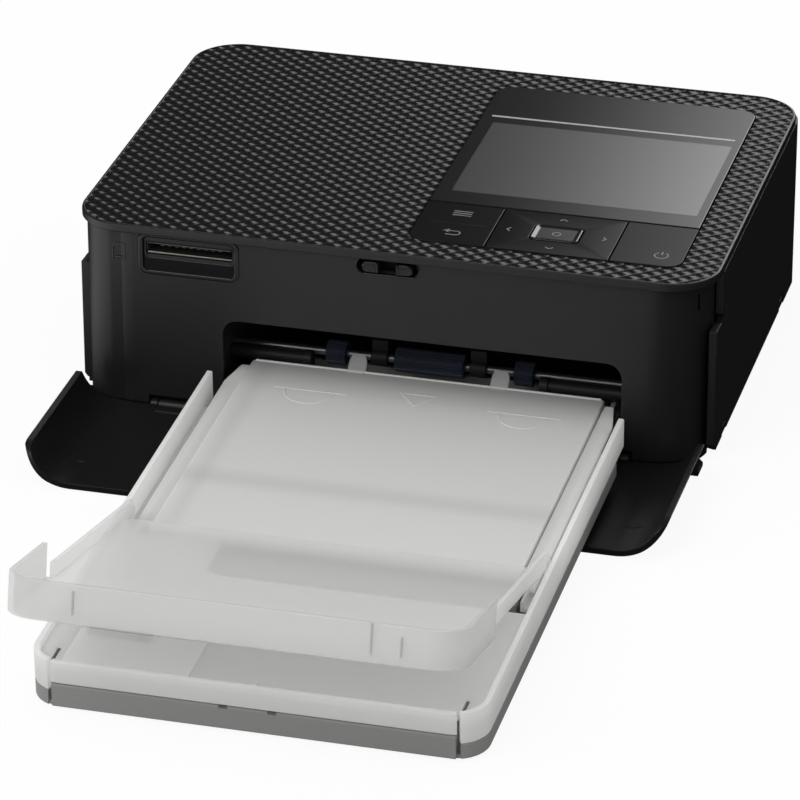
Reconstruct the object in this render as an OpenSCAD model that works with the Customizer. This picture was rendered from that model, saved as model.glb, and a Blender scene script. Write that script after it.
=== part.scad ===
// Compact dye-sublimation photo printer with its paper cassette in the slot and its front door down.
// X runs to the printer's right, Y to its back and Z up; the table is at Z = 0.

/* [Body] */
// Width over the side panels
body_w = 182.2; // [178:0.2:188]
// Depth over the top cover
body_d = 133; // [129:0.5:138]
// Height from the table to the top cover
body_h = 57.6; // [56.5:0.1:60]
// Height of the top cover's rim
rim_h = 2.7; // [2.2:0.1:3.2]
// Corner radius of the top cover in plan
top_r = 14; // [11:0.5:17]
// Corner radius of the front face in plan
face_r = 15; // [11:0.5:17]
// Radius of the rear corners in plan
rear_r = 10; // [7:0.5:12]
// How far the front face stands behind the rim
face_inset = 2; // [1.5:0.1:2.4]
// Thickness of the raised side panels
side_t = 2.5; // [2.2:0.1:3]
// Wall thickness of the moulded shells
wall = 2; // [1.6:0.1:2.4]
// Height of the rubber feet under the case
foot_h = 1.8; // [1.5:0.1:2.2]
// Radius of a rubber foot
foot_r = 5; // [3:0.5:7]
// Gap between neighbouring pieces that move apart
gap = 0.3; // [0.25:0.05:0.35]

/* [Finger notches] */
// Distance of the side panels' front edge behind the rim
panel_back = 9.5; // [8:0.5:11]
// Further depth of the finger notch
notch_d = 8; // [6:0.5:10]
// Height of the finger notch's lower edge above the table
notch_z = 40; // [36:0.5:43]
// Height of the side panels' lower edge
panel_z = 2.7; // [2.4:0.1:3.2]

/* [Paper opening] */
// Width of the paper opening
slot_w = 114; // [112.5:0.5:117]
// Sideways offset of the paper opening and the paper path
path_x = 9.3; // [8:0.1:10.5]
// Height of the opening's upper edge
slot_top = 30.5; // [28:0.5:32]
// Height of the opening's lower edge
slot_bottom = 4; // [3.9:0.1:4.2]
// Corner radius of the opening
slot_r = 4.5; // [3:0.5:6]

/* [Display and keys] */
// Width of the display and key panel
panel_w = 77.2; // [75:0.2:79]
// Distance of the panel's front edge from the rim
panel_front_gap = 11; // [10:0.5:13]
// Distance of the panel's rear edge from the rim
panel_back_gap = 12; // [10.5:0.5:14]
// Distance of the panel's right edge from the rim
panel_side_gap = 11.2; // [10.5:0.1:12.5]
// Corner radius of the panel
panel_r = 5.2; // [4:0.2:6.5]
// Length of the key row along the panel
key_row = 26; // [24:0.5:28]
// Width of the left key
left_key_w = 22.3; // [20:0.1:24]
// Width of the power key
power_key_w = 20; // [18:0.1:22]
// Width of the centre key's frame
ok_w = 13.6; // [12:0.2:15]
// Length of the centre key's frame
ok_d = 9.8; // [9:0.2:11]
// Gap round each key
key_gap = 0.3; // [0.25:0.05:0.4]
// Width of the screen's light area
lcd_w = 70.4; // [68:0.2:72]
// Length of the screen's light area
lcd_d = 49.4; // [47:0.2:52]
// How far a key goes down
key_travel = 0.3; // [0.25:0.05:0.4]

/* [Card slot and latch] */
// Width of the card slot's recess
card_w = 29.2; // [28.5:0.1:32]
// Height of the card slot's recess
card_h = 12.4; // [11:0.2:12.6]
// Distance of the card slot's centre from the left side
card_in = 33.9; // [32:0.1:36]
// How far the recess's centre lies below the rim
card_drop = 6.4; // [6.3:0.1:6.9]
// Width of the latch recess
latch_w = 17.9; // [17:0.1:20]
// Height of the latch recess
latch_h = 5; // [4.6:0.1:5.4]
// How far the latch recess's centre lies below the rim
latch_drop = 2.9; // [2.8:0.1:3.3]
// How far a latch knob slides
latch_travel = 1.2; // [0.8:0.1:1.4]

/* [Front door] */
// Thickness of the front door
door_t = 1.7; // [1.5:0.1:1.8]
// Length of the door from its hinge to its free edge
door_l = 52.4; // [50:0.2:52.4]
// Depth of the door's side flanges
door_flange = 10.2; // [9:0.1:10.2]
// Inner radius where floor and flange meet
door_bend = 13; // [9:0.5:15]
// Corner radius of the flange tips
door_tip_r = 8.5; // [6:0.5:9]
// Radius of the hinge pins
hinge_r = 0.9; // [0.8:0.05:1]

/* [Paper cassette] */
// Width over the cassette's outer walls
tray_w = 119; // [118:0.5:123]
// Width of the part that goes into the opening
neck_w = 106; // [105:0.5:107]
// Length of the wide part
tray_l = 160.6; // [158:0.5:163]
// Length of the part inside the printer
neck_l = 33; // [31:0.5:34]
// Height of the outer walls
tray_h = 13.3; // [13:0.1:14]
// Height of the grey base's side strip
base_h = 4.4; // [4:0.1:5]
// Height of the lid's upper face above the base
lid_h = 10; // [9.8:0.1:10.2]
// Width of the inner lid
lid_w = 101.2; // [100.5:0.1:101.6]
// Wall thickness of the cassette
tray_wall = 1.6; // [1.4:0.1:1.8]
// Downward slope of the cassette to the front, in degrees
tray_tilt = 1.45; // [1.2:0.05:1.6]
// Corner radius of the cassette
tray_r = 9; // [6:0.5:10]
// Width of the paper
paper_w = 100; // [98:0.5:100.5]

/* [Output tray] */
// Length of the tray from its hinge
flap_l = 101.6; // [98:0.2:104]
// Width of the tray
flap_w = 118.4; // [117:0.2:121]
// Upward slope of the open tray, in degrees
flap_tilt = 13.2; // [12.6:0.2:14.4]
// Height of the tray's end wall
flap_wall_h = 10.4; // [9:0.2:11]
// Height of its low side walls
flap_low_h = 5.2; // [4.4:0.2:5.6]
// Thickness of the tray
flap_t = 1.4; // [1.3:0.1:1.6]
// Radius of its pivot pins
flap_pin_r = 1.2; // [1:0.1:1.3]

/* [Rollers and gears] */
// Radius of the rubber pick-up rollers
pickup_r = 3.5; // [3.3:0.1:3.6]
// Radius of the pick-up shaft
shaft_r = 1.2; // [1:0.1:1.4]
// Radius of the metal feed roller
feed_r = 4; // [3.5:0.1:4.3]
// Radius of the pinch roller
pinch_r = 2.5; // [2.2:0.1:2.7]
// Radius of the platen roller
platen_r = 6; // [5.5:0.1:6.2]
// Radius of a ribbon spool's flange
spool_r = 8; // [7.6:0.1:8.1]
// Gear module
gear_m = 0.6; // [0.58:0.01:0.61]
// Running clearance of shafts in their holes
run = 0.05; // [0.03:0.01:0.09]
// Thickness of the chassis plates
plate_t = 1.2; // [1:0.1:1.4]

/* [Hidden] */
$fn = 64;

black = [0.07, 0.07, 0.075];
satin = [0.13, 0.13, 0.13];
rubber = [0.09, 0.1, 0.14];
steel = [0.66, 0.67, 0.69];
frosted = [0.83, 0.84, 0.84];
grey = [0.56, 0.56, 0.55];
board_green = [0.1, 0.3, 0.2];
eps = 0.01;

// Faces of the body, measured from the middle of its footprint
side_x = body_w / 2;
core_x = side_x - side_t;
rim_y = -body_d / 2;
face_y = rim_y + face_inset;
back_y = body_d / 2;
rim_z = body_h - rim_h;
seam_z = rim_z - 0.35;
panel_y = rim_y + panel_back;
notch_y = panel_y + notch_d;
floor_z = foot_h + wall;
top_t = 1.6;
rear_edge_x = side_x - rear_r - 2;
rear_in = back_y - side_t;

// The paper cassette lies in its own frame, which slopes down to the front
tray_y = face_y - 6.9;
tray_z = 4.9;
neck_gap = 9;

// Pivot of the output tray in the cassette's frame
flap_y = -80.6;
flap_z = lid_h + 1.6;
flap_drop = 1;
flap_jog = 1.9;
flap_high = 34;
flap_rise = flap_tilt + tray_tilt;
flap_reach = flap_l * cos(flap_tilt) + flap_drop * sin(flap_tilt);
flap_pivot_y = tray_y + flap_y * cos(tray_tilt) - flap_z * sin(tray_tilt);
front_reach = -(flap_pivot_y - flap_reach);

// The whole is moved so that its outline is centred on the origin
shift_y = (front_reach - back_y) / 2;

// Places of the shafts, as Y and Z
pickup_at = [face_y + 19.5, 14.6];
feed_at = [pickup_at[0] + 25, 16];
path_z = feed_at[1] + feed_r;
pinch_at = [feed_at[0], path_z + pinch_r + gap];
platen_at = [feed_at[0] + 22, path_z - platen_r - 0.2];
supply_at = [feed_at[0], 36];
takeup_at = [feed_at[0] + 42, 36];
head_pivot = [feed_at[0] + 60, 30];
guide_at = [pickup_at[0] - 4, pickup_at[1] - 1];
plate_left = path_x - paper_w / 2 - 10.5;
plate_right = path_x + paper_w / 2 + 9.3;
gear_x = plate_left - 7;
gear_w = 4;

// Teeth of the gear train
pickup_teeth = 24;
feed_teeth = 30;
idler_teeth = 18;
pinion_teeth = 12;
hub_teeth = 24;
function pitch_r(teeth) = teeth * gear_m / 2;
feed_to_pickup = norm(feed_at - pickup_at);
idler_from_feed = pitch_r(feed_teeth) + pitch_r(idler_teeth);
idler_from_pickup = pitch_r(pickup_teeth) + pitch_r(idler_teeth);
feed_angle = atan2(pickup_at[1] - feed_at[1], pickup_at[0] - feed_at[0]);
idler_offset = acos((pow(idler_from_feed, 2) + pow(feed_to_pickup, 2) - pow(idler_from_pickup, 2))
    / (2 * idler_from_feed * feed_to_pickup));
idler_angle = feed_angle - idler_offset;
idler_at = feed_at + idler_from_feed * [cos(idler_angle), sin(idler_angle)];
idler_to_pickup = atan2(pickup_at[1] - idler_at[1], pickup_at[0] - idler_at[0]);
motor_angle = 40;
motor_at = feed_at + (pitch_r(feed_teeth) + pitch_r(pinion_teeth)) * [cos(motor_angle), sin(motor_angle)];
hub_angle = -60;
ribbon_motor_at = takeup_at + (pitch_r(hub_teeth) + pitch_r(pinion_teeth)) * [cos(hub_angle), sin(hub_angle)];

// Where a line from p touches a circle of radius r, on side s
function touch(centre, r, p, s) =
    let (d = p - centre, a = atan2(d[1], d[0]) + s * acos(r / norm(d))) centre + r * [cos(a), sin(a)];

// Turn of a gear that meshes, seen from a neighbour of known turn along a line at this angle
function mesh_turn(angle, turn, teeth, next_teeth) =
    angle + 180 - (0.5 - (angle - turn) * teeth / 360) * 360 / next_teeth;
idler_turn = mesh_turn(idler_angle, 0, feed_teeth, idler_teeth);
pickup_turn = mesh_turn(idler_to_pickup, idler_turn, idler_teeth, pickup_teeth);
motor_turn = mesh_turn(motor_angle, 0, feed_teeth, pinion_teeth);
ribbon_motor_turn = mesh_turn(hub_angle, 0, hub_teeth, pinion_teeth);

// Ends of the ink cassette and of the hub that drives its spool
ink_x0 = plate_left + plate_t + 4;
ink_x1 = core_x - wall - 1;
shell_r = spool_r + 1.7;
hub_end = plate_left + plate_t + 1.2;
dog_l = 3;
spool_x0 = hub_end + 0.6;
supply_wound = spool_r - 1;
takeup_wound = 5;

// Front door: its hinge and where it ends
door_z = 0.3;
door_pin = [face_y - 0.4, door_z + door_t];
door_arm = [55.5, 66.5];
knuckle_r = 1.5;
lug_w = 2;

// Ink door: its hinge along the lower edge
ink_pin = [side_x - 1.15, panel_z + 1.3];
ink_pin_r = 0.6;
ink_door_end = back_y - rear_r - 2.5;
ear_y = [panel_y + 14, ink_door_end - 14];
ear_w = 5;

// Card slot and latch in the front face
card_x = card_in - side_x;
card_z = rim_z - card_drop;
latch_z = rim_z - latch_drop;

// Rear sockets and the fan
inlet_x = side_x - 15.6;
inlet_w = 10;
socket_z = 10.5;
usb_x = 34.1 - side_x;
usb_w = 9;
fan_w = 25;
fan_at = [24.6 - side_x, 34];

// Key row
panel_x = side_x - panel_side_gap - panel_w / 2;
panel_d = body_d - panel_front_gap - panel_back_gap;
panel_y0 = (panel_front_gap - panel_back_gap) / 2;
lcd_y = panel_y0 - panel_d / 2 + key_row + 32.6;
panel_front = panel_y0 - panel_d / 2;
panel_back_y = panel_y0 + panel_d / 2;
key_split = panel_front + key_row;
panel_left = panel_x - panel_w / 2;
panel_right = panel_x + panel_w / 2;
left_key_x = panel_left + left_key_w;
power_key_x = panel_right - power_key_w;
four_way_x = (left_key_x + power_key_x) / 2;
key_y = panel_front + key_row / 2;
key_top = body_h - 0.15;
key_t = 1.3;
bezel_z = key_top - key_t - key_travel - 0.25;
rocker_z = bezel_z - 0.1;
rocker_r = 0.6;

// Gimbal of the direction key
ring_r = 9.2;
ring_w = 1.8;
gimbal_r = 0.5;
gimbal_z = bezel_z - 0.95;
leg_x = 13.4;
leg_y = 10.9;
leg_z = bezel_z - 2.2;

// Screw posts
post_x = side_x - 7.6;
post_y = [rim_y + 18.5, back_y - 18.5];
post_r = 2.8;
screw_r = 1.3;
post_split = 20;

// Rubber feet
foot_x = side_x - 16;
foot_y = [rim_y + 17, back_y - 17];

// Moves drawn pieces from the middle of the body to the part's own origin
module place() translate([0, shift_y, 0]) children();

// Moves into the cassette's sloping frame
module in_cassette() place() translate([path_x, tray_y, tray_z]) rotate([tray_tilt, 0, 0]) children();

// Moves into the output tray's own plane, with +Y away from the pivot
module in_flap() in_cassette() translate([0, flap_y, flap_z]) rotate([-flap_rise, 0, 0]) mirror([0, 1, 0]) children();

// Rectangle with round corners, on its middle
module rounded(w, d, r) {
    square([w - 2 * r, d], center = true);
    square([w, d - 2 * r], center = true);
    for (x = [-1, 1], y = [-1, 1]) translate([x * (w / 2 - r), y * (d / 2 - r)]) circle(r);
}

// Box from its lowest to its highest corner
module span(a, b) translate(a) cube(b - a);

// Upright plate with round corners in the XZ plane, from y0 to y1
module upright(x, z, w, h, r, y0, y1) translate([x, y1, z]) rotate([90, 0, 0]) linear_extrude(y1 - y0) rounded(w, h, r);

// Cylinder along X
module rod(x0, x1, at, r) translate([x0, at[0], at[1]]) rotate([0, 90, 0]) cylinder(h = x1 - x0, r = r);

// Cylinder along Y
module rod_y(y0, y1, at, r) translate([at[0], y0, at[1]]) rotate([-90, 0, 0]) cylinder(h = y1 - y0, r = r);

// Spur gear on an X axis; its first tooth points along +Y
module gear(x0, w, at, teeth, turn, bore) {
    r = pitch_r(teeth);
    root = r - 1.15 * gear_m;
    tip = r + 0.8 * gear_m;
    pitch = 360 / teeth;
    inner = root - 0.3;
    foot = 0.24 * pitch;
    crown = 0.08 * pitch;
    translate([x0, at[0], at[1]]) rotate([90, 0, 90]) difference() {
        linear_extrude(w) union() {
            circle(root);
            for (k = [0 : teeth - 1]) rotate(turn + k * pitch) polygon([
                [inner * cos(foot), -inner * sin(foot)],
                [tip * cos(crown), -tip * sin(crown)],
                [tip * cos(crown), tip * sin(crown)],
                [inner * cos(foot), inner * sin(foot)]
            ]);
        }
        if (bore > 0) translate([0, 0, -1]) cylinder(h = w + 2, r = bore);
    }
}

// Plan outline of the front panel's outer face, grown by g
module face_plan(g) translate([0, face_y + (back_y - face_y) / 2]) rounded(2 * core_x + 2 * g, back_y - face_y + 2 * g, face_r + g);

// Plan outline of the raised side panels, shrunk by g
module side_plan(g) rounded(body_w - 2 * g, body_d - 2 * g, rear_r - g);

// Lower shell: floor with a low wall, screw posts and the lugs of the door's hinge
module bottom_case() color(black) place() {
    wall_top = floor_z + 8;
    difference() {
        union() {
            translate([0, 0, foot_h]) linear_extrude(wall_top - foot_h) intersection() {
                face_plan(-wall);
                translate([0, -side_t]) square([body_w, body_d], center = true);
            }
            for (x = [-1, 1], y = post_y) translate([x * post_x, y, floor_z - eps])
                cylinder(h = post_split - floor_z + eps, r = post_r);
        }
        difference() {
            translate([0, 0, floor_z]) linear_extrude(wall_top) intersection() {
                face_plan(-wall - 1.5);
                translate([0, -side_t - 1.5]) square([body_w, body_d], center = true);
            }
            for (x = [-1, 1], y = post_y) translate([x * post_x, y, 0]) cylinder(h = body_h, r = post_r);
        }
        span([path_x - slot_w / 2, rim_y, floor_z], [path_x + slot_w / 2, face_y + wall + 3, body_h]);
        for (s = [-1, 1]) span(
            [s * (door_arm[0] + door_arm[1]) / 2 - 9, rim_y, 0],
            [s * (door_arm[0] + door_arm[1]) / 2 + 9, face_y + 4.2, floor_z + 1]);
        for (x = [-1, 1], y = post_y) translate([x * post_x, y, 0]) {
            cylinder(h = body_h, r = screw_r + 0.2);
            translate([0, 0, foot_h - 1]) cylinder(h = 2.6, r = 2.5);
        }
        for (x = [-1, 1], y = foot_y) translate([x * foot_x, y, foot_h - 1]) cylinder(h = 1.6, r = foot_r);
        for (k = [0 : 8]) span([-48 + 6 * k, 20, 0], [-46.2 + 6 * k, 46, floor_z + 1]);
        for (s = [[inlet_x, inlet_w], [usb_x, usb_w]])
            span([s[0] - s[1] / 2 - gap, rear_in - 4, floor_z + eps], [s[0] + s[1] / 2 + gap, rear_in + 1, wall_top + 1]);
    }
    for (s = [-1, 1]) difference() {
        union() {
            span([s * (door_arm[1] + gap + lug_w / 2) - lug_w / 2, door_pin[0], foot_h],
                [s * (door_arm[1] + gap + lug_w / 2) + lug_w / 2, face_y + 4.3, door_pin[1] + 1.2]);
            rod(s * (door_arm[1] + gap + lug_w / 2) - lug_w / 2, s * (door_arm[1] + gap + lug_w / 2) + lug_w / 2,
                door_pin, knuckle_r);
        }
        rod(-side_x, side_x, door_pin, hinge_r);
    }
    for (y = ear_y) difference() {
        span([core_x - wall - 0.4, y - ear_w / 2, ink_pin[1] - 1.1], [ink_pin[0] + 1, y + ear_w / 2, ink_pin[1] + 1.1]);
        rod_y(y - ear_w, y + ear_w, ink_pin, ink_pin_r);
    }
}

// Four rubber pads under the case
module rubber_feet() color(rubber) place() for (x = [-1, 1], y = foot_y) translate([x * foot_x, y, 0]) difference() {
    cylinder(h = foot_h + 0.6, r = foot_r);
    translate([0, 0, -1]) cylinder(h = 1.4, r = foot_r - 2);
}

// Four long screws that hold the top cover to the lower shell
module case_screws() color(steel) place() for (x = [-1, 1], y = post_y) translate([x * post_x, y, foot_h + 0.3]) difference() {
    union() {
        cylinder(h = 1.3, r = 2.3);
        cylinder(h = post_split + 6 - foot_h, r = screw_r);
    }
    for (a = [0, 90]) rotate(a) translate([-1.6, -0.25, -1]) cube([3.2, 0.5, 1.7]);
}

// Top cover with its rim and the window for display and keys
module top_cover() color(satin) place() {
    difference() {
        translate([0, 0, rim_z]) linear_extrude(rim_h) rounded(body_w, body_d, top_r);
        translate([0, 0, rim_z - 1]) linear_extrude(rim_h - top_t + 1) rounded(body_w - 2 * side_t - 2 * wall,
            body_d - 2 * side_t - 2 * wall, top_r - side_t - wall);
        translate([panel_x, panel_y0, rim_z - 1]) linear_extrude(rim_h + 2) rounded(panel_w + 0.5, panel_d + 0.5, panel_r + 0.25);
    }
    for (x = [-1, 1], y = post_y) translate([x * post_x, y, post_split]) difference() {
        cylinder(h = rim_z + rim_h - top_t - post_split + eps, r = post_r);
        translate([0, 0, -1]) cylinder(h = 9, r = screw_r);
    }
}

// Front face, which wraps round both corners
module front_panel() color(satin) place() difference() {
    translate([0, 0, foot_h]) linear_extrude(seam_z - foot_h) intersection() {
        difference() {
            face_plan(0);
            face_plan(-wall);
        }
        translate([-side_x, rim_y]) square([body_w, notch_y - rim_y]);
    }
    upright(path_x, (slot_top + slot_bottom) / 2, slot_w, slot_top - slot_bottom, slot_r, rim_y, face_y + wall + 1);
    span([path_x - slot_w / 2, rim_y, foot_h - 1], [path_x + slot_w / 2, face_y + wall + 1, slot_bottom + slot_r]);
    upright(card_x, card_z, card_w, card_h, 2.4, rim_y, face_y + 1);
    upright(card_x, card_z + 1.1, card_w - 4, 3.5, 0.8, rim_y, face_y + wall + 1);
    upright(0, latch_z, latch_w, latch_h, latch_h / 2 - 0.01, rim_y, face_y + wall + 1);
    for (s = [-1, 1]) span([s * (door_arm[0] + door_arm[1]) / 2 - 8.6, rim_y, foot_h - 1],
        [s * (door_arm[0] + door_arm[1]) / 2 + 8.6, face_y + wall + 1, door_pin[1] + 2.4]);
    upright(core_x - 2.6, latch_z - 3, 0.6, 5, 0.25, rim_y + 2, face_y + 8);
}

// Raised panel of the left side, round the rear corner
module side_shell(g) {
    translate([0, 0, panel_z]) linear_extrude(seam_z - g - panel_z) difference() {
        side_plan(0);
        side_plan(side_t);
    }
}

// Room of the finger notch, with the small slope at its lower end
module notch(s) {
    span([s * side_x - side_t - 1, panel_y - 1, notch_z], [s * side_x + side_t + 1, notch_y, body_h]);
    translate([s * side_x - side_t - 1, notch_y, notch_z]) rotate([45, 0, 0]) translate([0, -1.4, -1.4]) cube([2 * side_t + 2, 2.8, 2.8]);
}

module left_side_panel() color(satin) place() difference() {
    side_shell(0);
    span([-rear_edge_x, -body_d, 0], [side_x + 1, body_d, body_h]);
    span([-side_x - 1, -body_d, 0], [side_x + 1, panel_y, body_h]);
    notch(-1);
    translate([-side_x - 1, panel_y, panel_z]) rotate([45, 0, 0]) cube([side_t + 2, 3.6, 3.6], center = true);
}

// Inner right wall behind the ink door, with the opening for the ink cassette
module ribbon_bay_frame() color(black) place() difference() {
    span([core_x - wall, notch_y, floor_z + 8], [core_x - gap, ink_door_end, rim_z]);
    span([core_x - wall - 1, supply_at[0] - shell_r - 2, supply_at[1] - shell_r - 2],
        [core_x + 1, takeup_at[0] + shell_r + 2, takeup_at[1] + shell_r + 2]);
}

// Rear panel with vents, paper slot and sockets; it includes the right rear corner
module rear_panel() color(satin) place() difference() {
    side_shell(0);
    span([-side_x - 1, -body_d, 0], [-rear_edge_x, body_d, body_h]);
    span([-side_x - 1, -body_d, 0], [side_x + 1, ink_door_end + gap, body_h]);
    upright(path_x, path_z - 1.5, paper_w + 8, 6.5, 2, rear_in - 1, back_y + 1);
    for (k = [-4 : 4]) upright(fan_at[0] + 2.7 * k, fan_at[1], 1.4, fan_w - 4, 0.65, rear_in - 1, back_y + 1);
    for (k = [0 : 11]) upright(-26 + 4.6 * k, rim_z - 10.9, 2, 8, 0.9, rear_in - 1, back_y + 1);
    upright(usb_x, socket_z - 1, usb_w + 0.2, 3.4, 1.6, rear_in - 1, back_y + 1);
    rod_y(rear_in - 1, back_y + 1, [inlet_x, socket_z], 4.1);
    upright(path_x, 9.2, 38, 6.4, 1, back_y - 1.2, back_y + 1);
}

// Tray under display and keys, hung in the top cover's window
module control_bezel() color(black) place() difference() {
    translate([panel_x, panel_y0, bezel_z - 2]) linear_extrude(2) rounded(panel_w + 5, panel_d + 5, panel_r + 2.5);
    span([panel_x - lcd_w / 2 - 3, lcd_y - lcd_d / 2 - 3.3, 0], [panel_x + lcd_w / 2 + 3, lcd_y + lcd_d / 2 + 8.2, body_h]);
    for (x = [panel_left + left_key_w / 2, power_key_x + power_key_w / 2]) translate([x, key_y, 0]) {
        for (y = [-6.2, 6.2]) translate([0, y, 0]) cylinder(h = body_h, r = 2);
    }
    translate([four_way_x, key_y, 0]) {
        cylinder(h = body_h, r = ring_r + 0.4);
        for (a = [0 : 90 : 270]) rotate(a) translate([a % 180 == 0 ? leg_x : leg_y, 0, 0]) cylinder(h = body_h, r = 1.6);
    }
    rod(four_way_x - ring_r - 1.8, four_way_x + ring_r + 1.8, [key_y, gimbal_z], gimbal_r + run);
    span([panel_left + 5.6, key_y - 1, rocker_z - 1.1], [left_key_x - 5.6, key_y + 1, body_h]);
    rod(panel_left + 3, left_key_x - 3, [key_y, rocker_z], rocker_r + run);
    for (y = post_y) translate([post_x, y, 0]) cylinder(h = body_h, r = post_r + gap);
}

// Clear front plate over the screen
module display_window() color([0.1, 0.1, 0.11]) place() translate([0, 0, bezel_z]) linear_extrude(key_top + 0.1 - bezel_z) intersection() {
    translate([panel_x, panel_y0]) rounded(panel_w, panel_d, panel_r);
    translate([panel_left, key_split + key_gap]) square([panel_w, panel_d]);
}

// Screen module behind the plate
module lcd_module() color([0.5, 0.51, 0.5]) place() {
    span([panel_x - lcd_w / 2 - 2, lcd_y - lcd_d / 2 - 2.3, bezel_z - 4.2], [panel_x + lcd_w / 2 + 2, lcd_y + lcd_d / 2 + 7.2, bezel_z]);
}

// One key cap: the panel's outline between two X values
module cap(x0, x1) translate([0, 0, key_top - key_t]) linear_extrude(key_t) intersection() {
    translate([panel_x, panel_y0]) rounded(panel_w, panel_d, panel_r);
    translate([x0, panel_front]) square([x1 - x0, key_row]);
}

// Rocking key for menu and back, on a cross pin
module menu_back_key() color(satin) place() {
    difference() {
        cap(panel_left, left_key_x - key_gap / 2);
        span([panel_left + 3.7, key_y - 0.25, key_top - 0.25], [left_key_x - 3.3, key_y + 0.25, body_h]);
    }
    rod(panel_left + 4, left_key_x - 4, [key_y, rocker_z], rocker_r);
    span([panel_left + 6, key_y - 0.5, rocker_z], [left_key_x - 6, key_y + 0.5, key_top - key_t + eps]);
    for (y = [-6.2, 6.2]) translate([panel_left + left_key_w / 2, key_y + y, leg_z])
        cylinder(h = key_top - key_t - leg_z + eps, r = 1.2);
}

// Cross-shaped gimbal that lets the direction key tip four ways
module four_way_spider() color(black) place() {
    difference() {
        translate([four_way_x, key_y, bezel_z - 1.8]) difference() {
            cylinder(h = 1.7, r = ring_r);
            translate([0, 0, -1]) cylinder(h = 4, r = ring_r - ring_w);
        }
        rod_y(key_y - ring_r - 1, key_y + ring_r + 1, [four_way_x, gimbal_z], gimbal_r + run);
    }
    for (s = [-1, 1]) rod(four_way_x + s * (ring_r + 0.5) - 1.2, four_way_x + s * (ring_r + 0.5) + 1.2, [key_y, gimbal_z], gimbal_r);
}

// Direction key with the hole for the centre key
module four_way_key() color(satin) place() {
    difference() {
        cap(left_key_x + key_gap / 2, power_key_x - key_gap / 2);
        translate([four_way_x, key_y, 0]) linear_extrude(body_h) rounded(ok_w + 2 * key_gap, ok_d + 2 * key_gap, 0.3);
    }
    for (a = [0 : 90 : 270]) translate([four_way_x, key_y, leg_z]) rotate(a)
        translate([a % 180 == 0 ? leg_x : leg_y, 0, 0]) cylinder(h = key_top - key_t - leg_z + eps, r = 1);
    for (s = [-1, 1]) {
        y = key_y + s * (ring_r - ring_w - 1.1);
        span([four_way_x - 1.3, y - 0.6, gimbal_z - 0.9], [four_way_x + 1.3, y + 0.6, key_top - key_t + eps]);
        rod_y(y + s * 1.3 - 1.1, y + s * 1.3 + 1.1, [four_way_x, gimbal_z], gimbal_r);
    }
}

// Centre key
module ok_key() color(satin) place() translate([four_way_x, key_y, 0]) {
    translate([0, 0, key_top - key_t]) linear_extrude(key_t + 0.3) rounded(ok_w, ok_d, 1.6);
    translate([0, 0, leg_z]) cylinder(h = key_top - key_t - leg_z + eps, r = 3);
}

// Power key
module power_key() color(satin) place() {
    cap(power_key_x + key_gap / 2, panel_right);
    for (y = [-6.2, 6.2]) translate([power_key_x + power_key_w / 2, key_y + y, leg_z])
        cylinder(h = key_top - key_t - leg_z + eps, r = 1.2);
}

// Small board with one switch under each key point
module key_board() color(board_green) place() {
    top = leg_z - key_travel - gap - 1.1;
    span([panel_left + 1, panel_front + 2, top - 1.2], [panel_right - 1, key_split + 1, top]);
    for (p = [
        [panel_left + left_key_w / 2, key_y - 6.2], [panel_left + left_key_w / 2, key_y + 6.2],
        [power_key_x + power_key_w / 2, key_y - 6.2], [four_way_x, key_y],
        [four_way_x - leg_x, key_y], [four_way_x + leg_x, key_y],
        [four_way_x, key_y - leg_y], [four_way_x, key_y + leg_y]
    ]) {
        translate([p[0] - 1.7, p[1] - 1.7, top - eps]) cube([3.4, 3.4, 0.8]);
        translate([p[0], p[1], top]) cylinder(h = 1.1, r = 0.8);
    }
}

// Metal socket for memory cards, on the main board
card_slot_z = card_z + 1.1;
board_top = card_slot_z - 2.1;
module card_socket() color(steel) place() difference() {
    span([card_x - 13.6, face_y + wall, board_top], [card_x + 13.6, face_y + 30, card_slot_z + 2]);
    span([card_x - 12.4, face_y, card_slot_z - 1.3], [card_x + 12.4, face_y + 27, card_slot_z + 1.2]);
}

// Black pocket behind the latch recess
latch_end = panel_front - 2.5 - gap;
module latch_housing() color(black) place() difference() {
    upright(0, latch_z - 0.4, latch_w + 4, latch_h, 0.8, face_y + wall, latch_end);
    upright(0, latch_z, latch_w - 0.2, latch_h - 1.2, (latch_h - 1.2) / 2 - 0.01, face_y + wall - 1, latch_end - 1);
}

// Latch knob that catches the door's tongue, on side s
module latch_knob(s) {
    x = s * (latch_w / 4 + 0.35);
    w = latch_w / 2 - 3.6 - latch_travel / 2;
    upright(x, latch_z, w, latch_h - 1.8, 1.2, face_y - 0.9, latch_end - 1.3);
}
module left_latch_knob() color(black) place() latch_knob(-1);
module right_latch_knob() color(black) place() latch_knob(1);

// Main board under the top cover's left half
module main_board() color(board_green) place() {
    span([-core_x + 13, face_y + 3.5, board_top - 1.2], [panel_left - 8.7, back_y - 18, board_top]);
    for (p = [[-38, -20, 14], [-60, -10, 9], [-30, 12, 11], [-66, 22, 12]])
        translate([p[0], p[1], board_top - eps]) cube([p[2], p[2], 1.4]);
}

// Small data socket in the rear panel
module usb_socket() color(steel) place() difference() {
    upright(usb_x, socket_z - 1, usb_w, 3.2, 1.5, rear_in - 7, rear_in + 0.4);
    upright(usb_x, socket_z - 1, usb_w - 0.8, 2.4, 1.1, rear_in - 5.5, back_y + 1);
}

// Power inlet with its centre pin
module power_inlet() color(black) place() {
    difference() {
        span([inlet_x - inlet_w / 2, rear_in - 13, floor_z], [inlet_x + inlet_w / 2, rear_in, socket_z + 5.1]);
        rod_y(rear_in - 9, back_y, [inlet_x, socket_z], 2.8);
    }
    rod_y(rear_in - 9.5, rear_in - 0.5, [inlet_x, socket_z], 0.85);
}

// Rubber cover over the battery terminals
module battery_terminal_cover() color(rubber) place() {
    upright(path_x, 9.2, 37.6, 6, 0.8, back_y - 1.2, back_y - 0.2);
}

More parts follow.
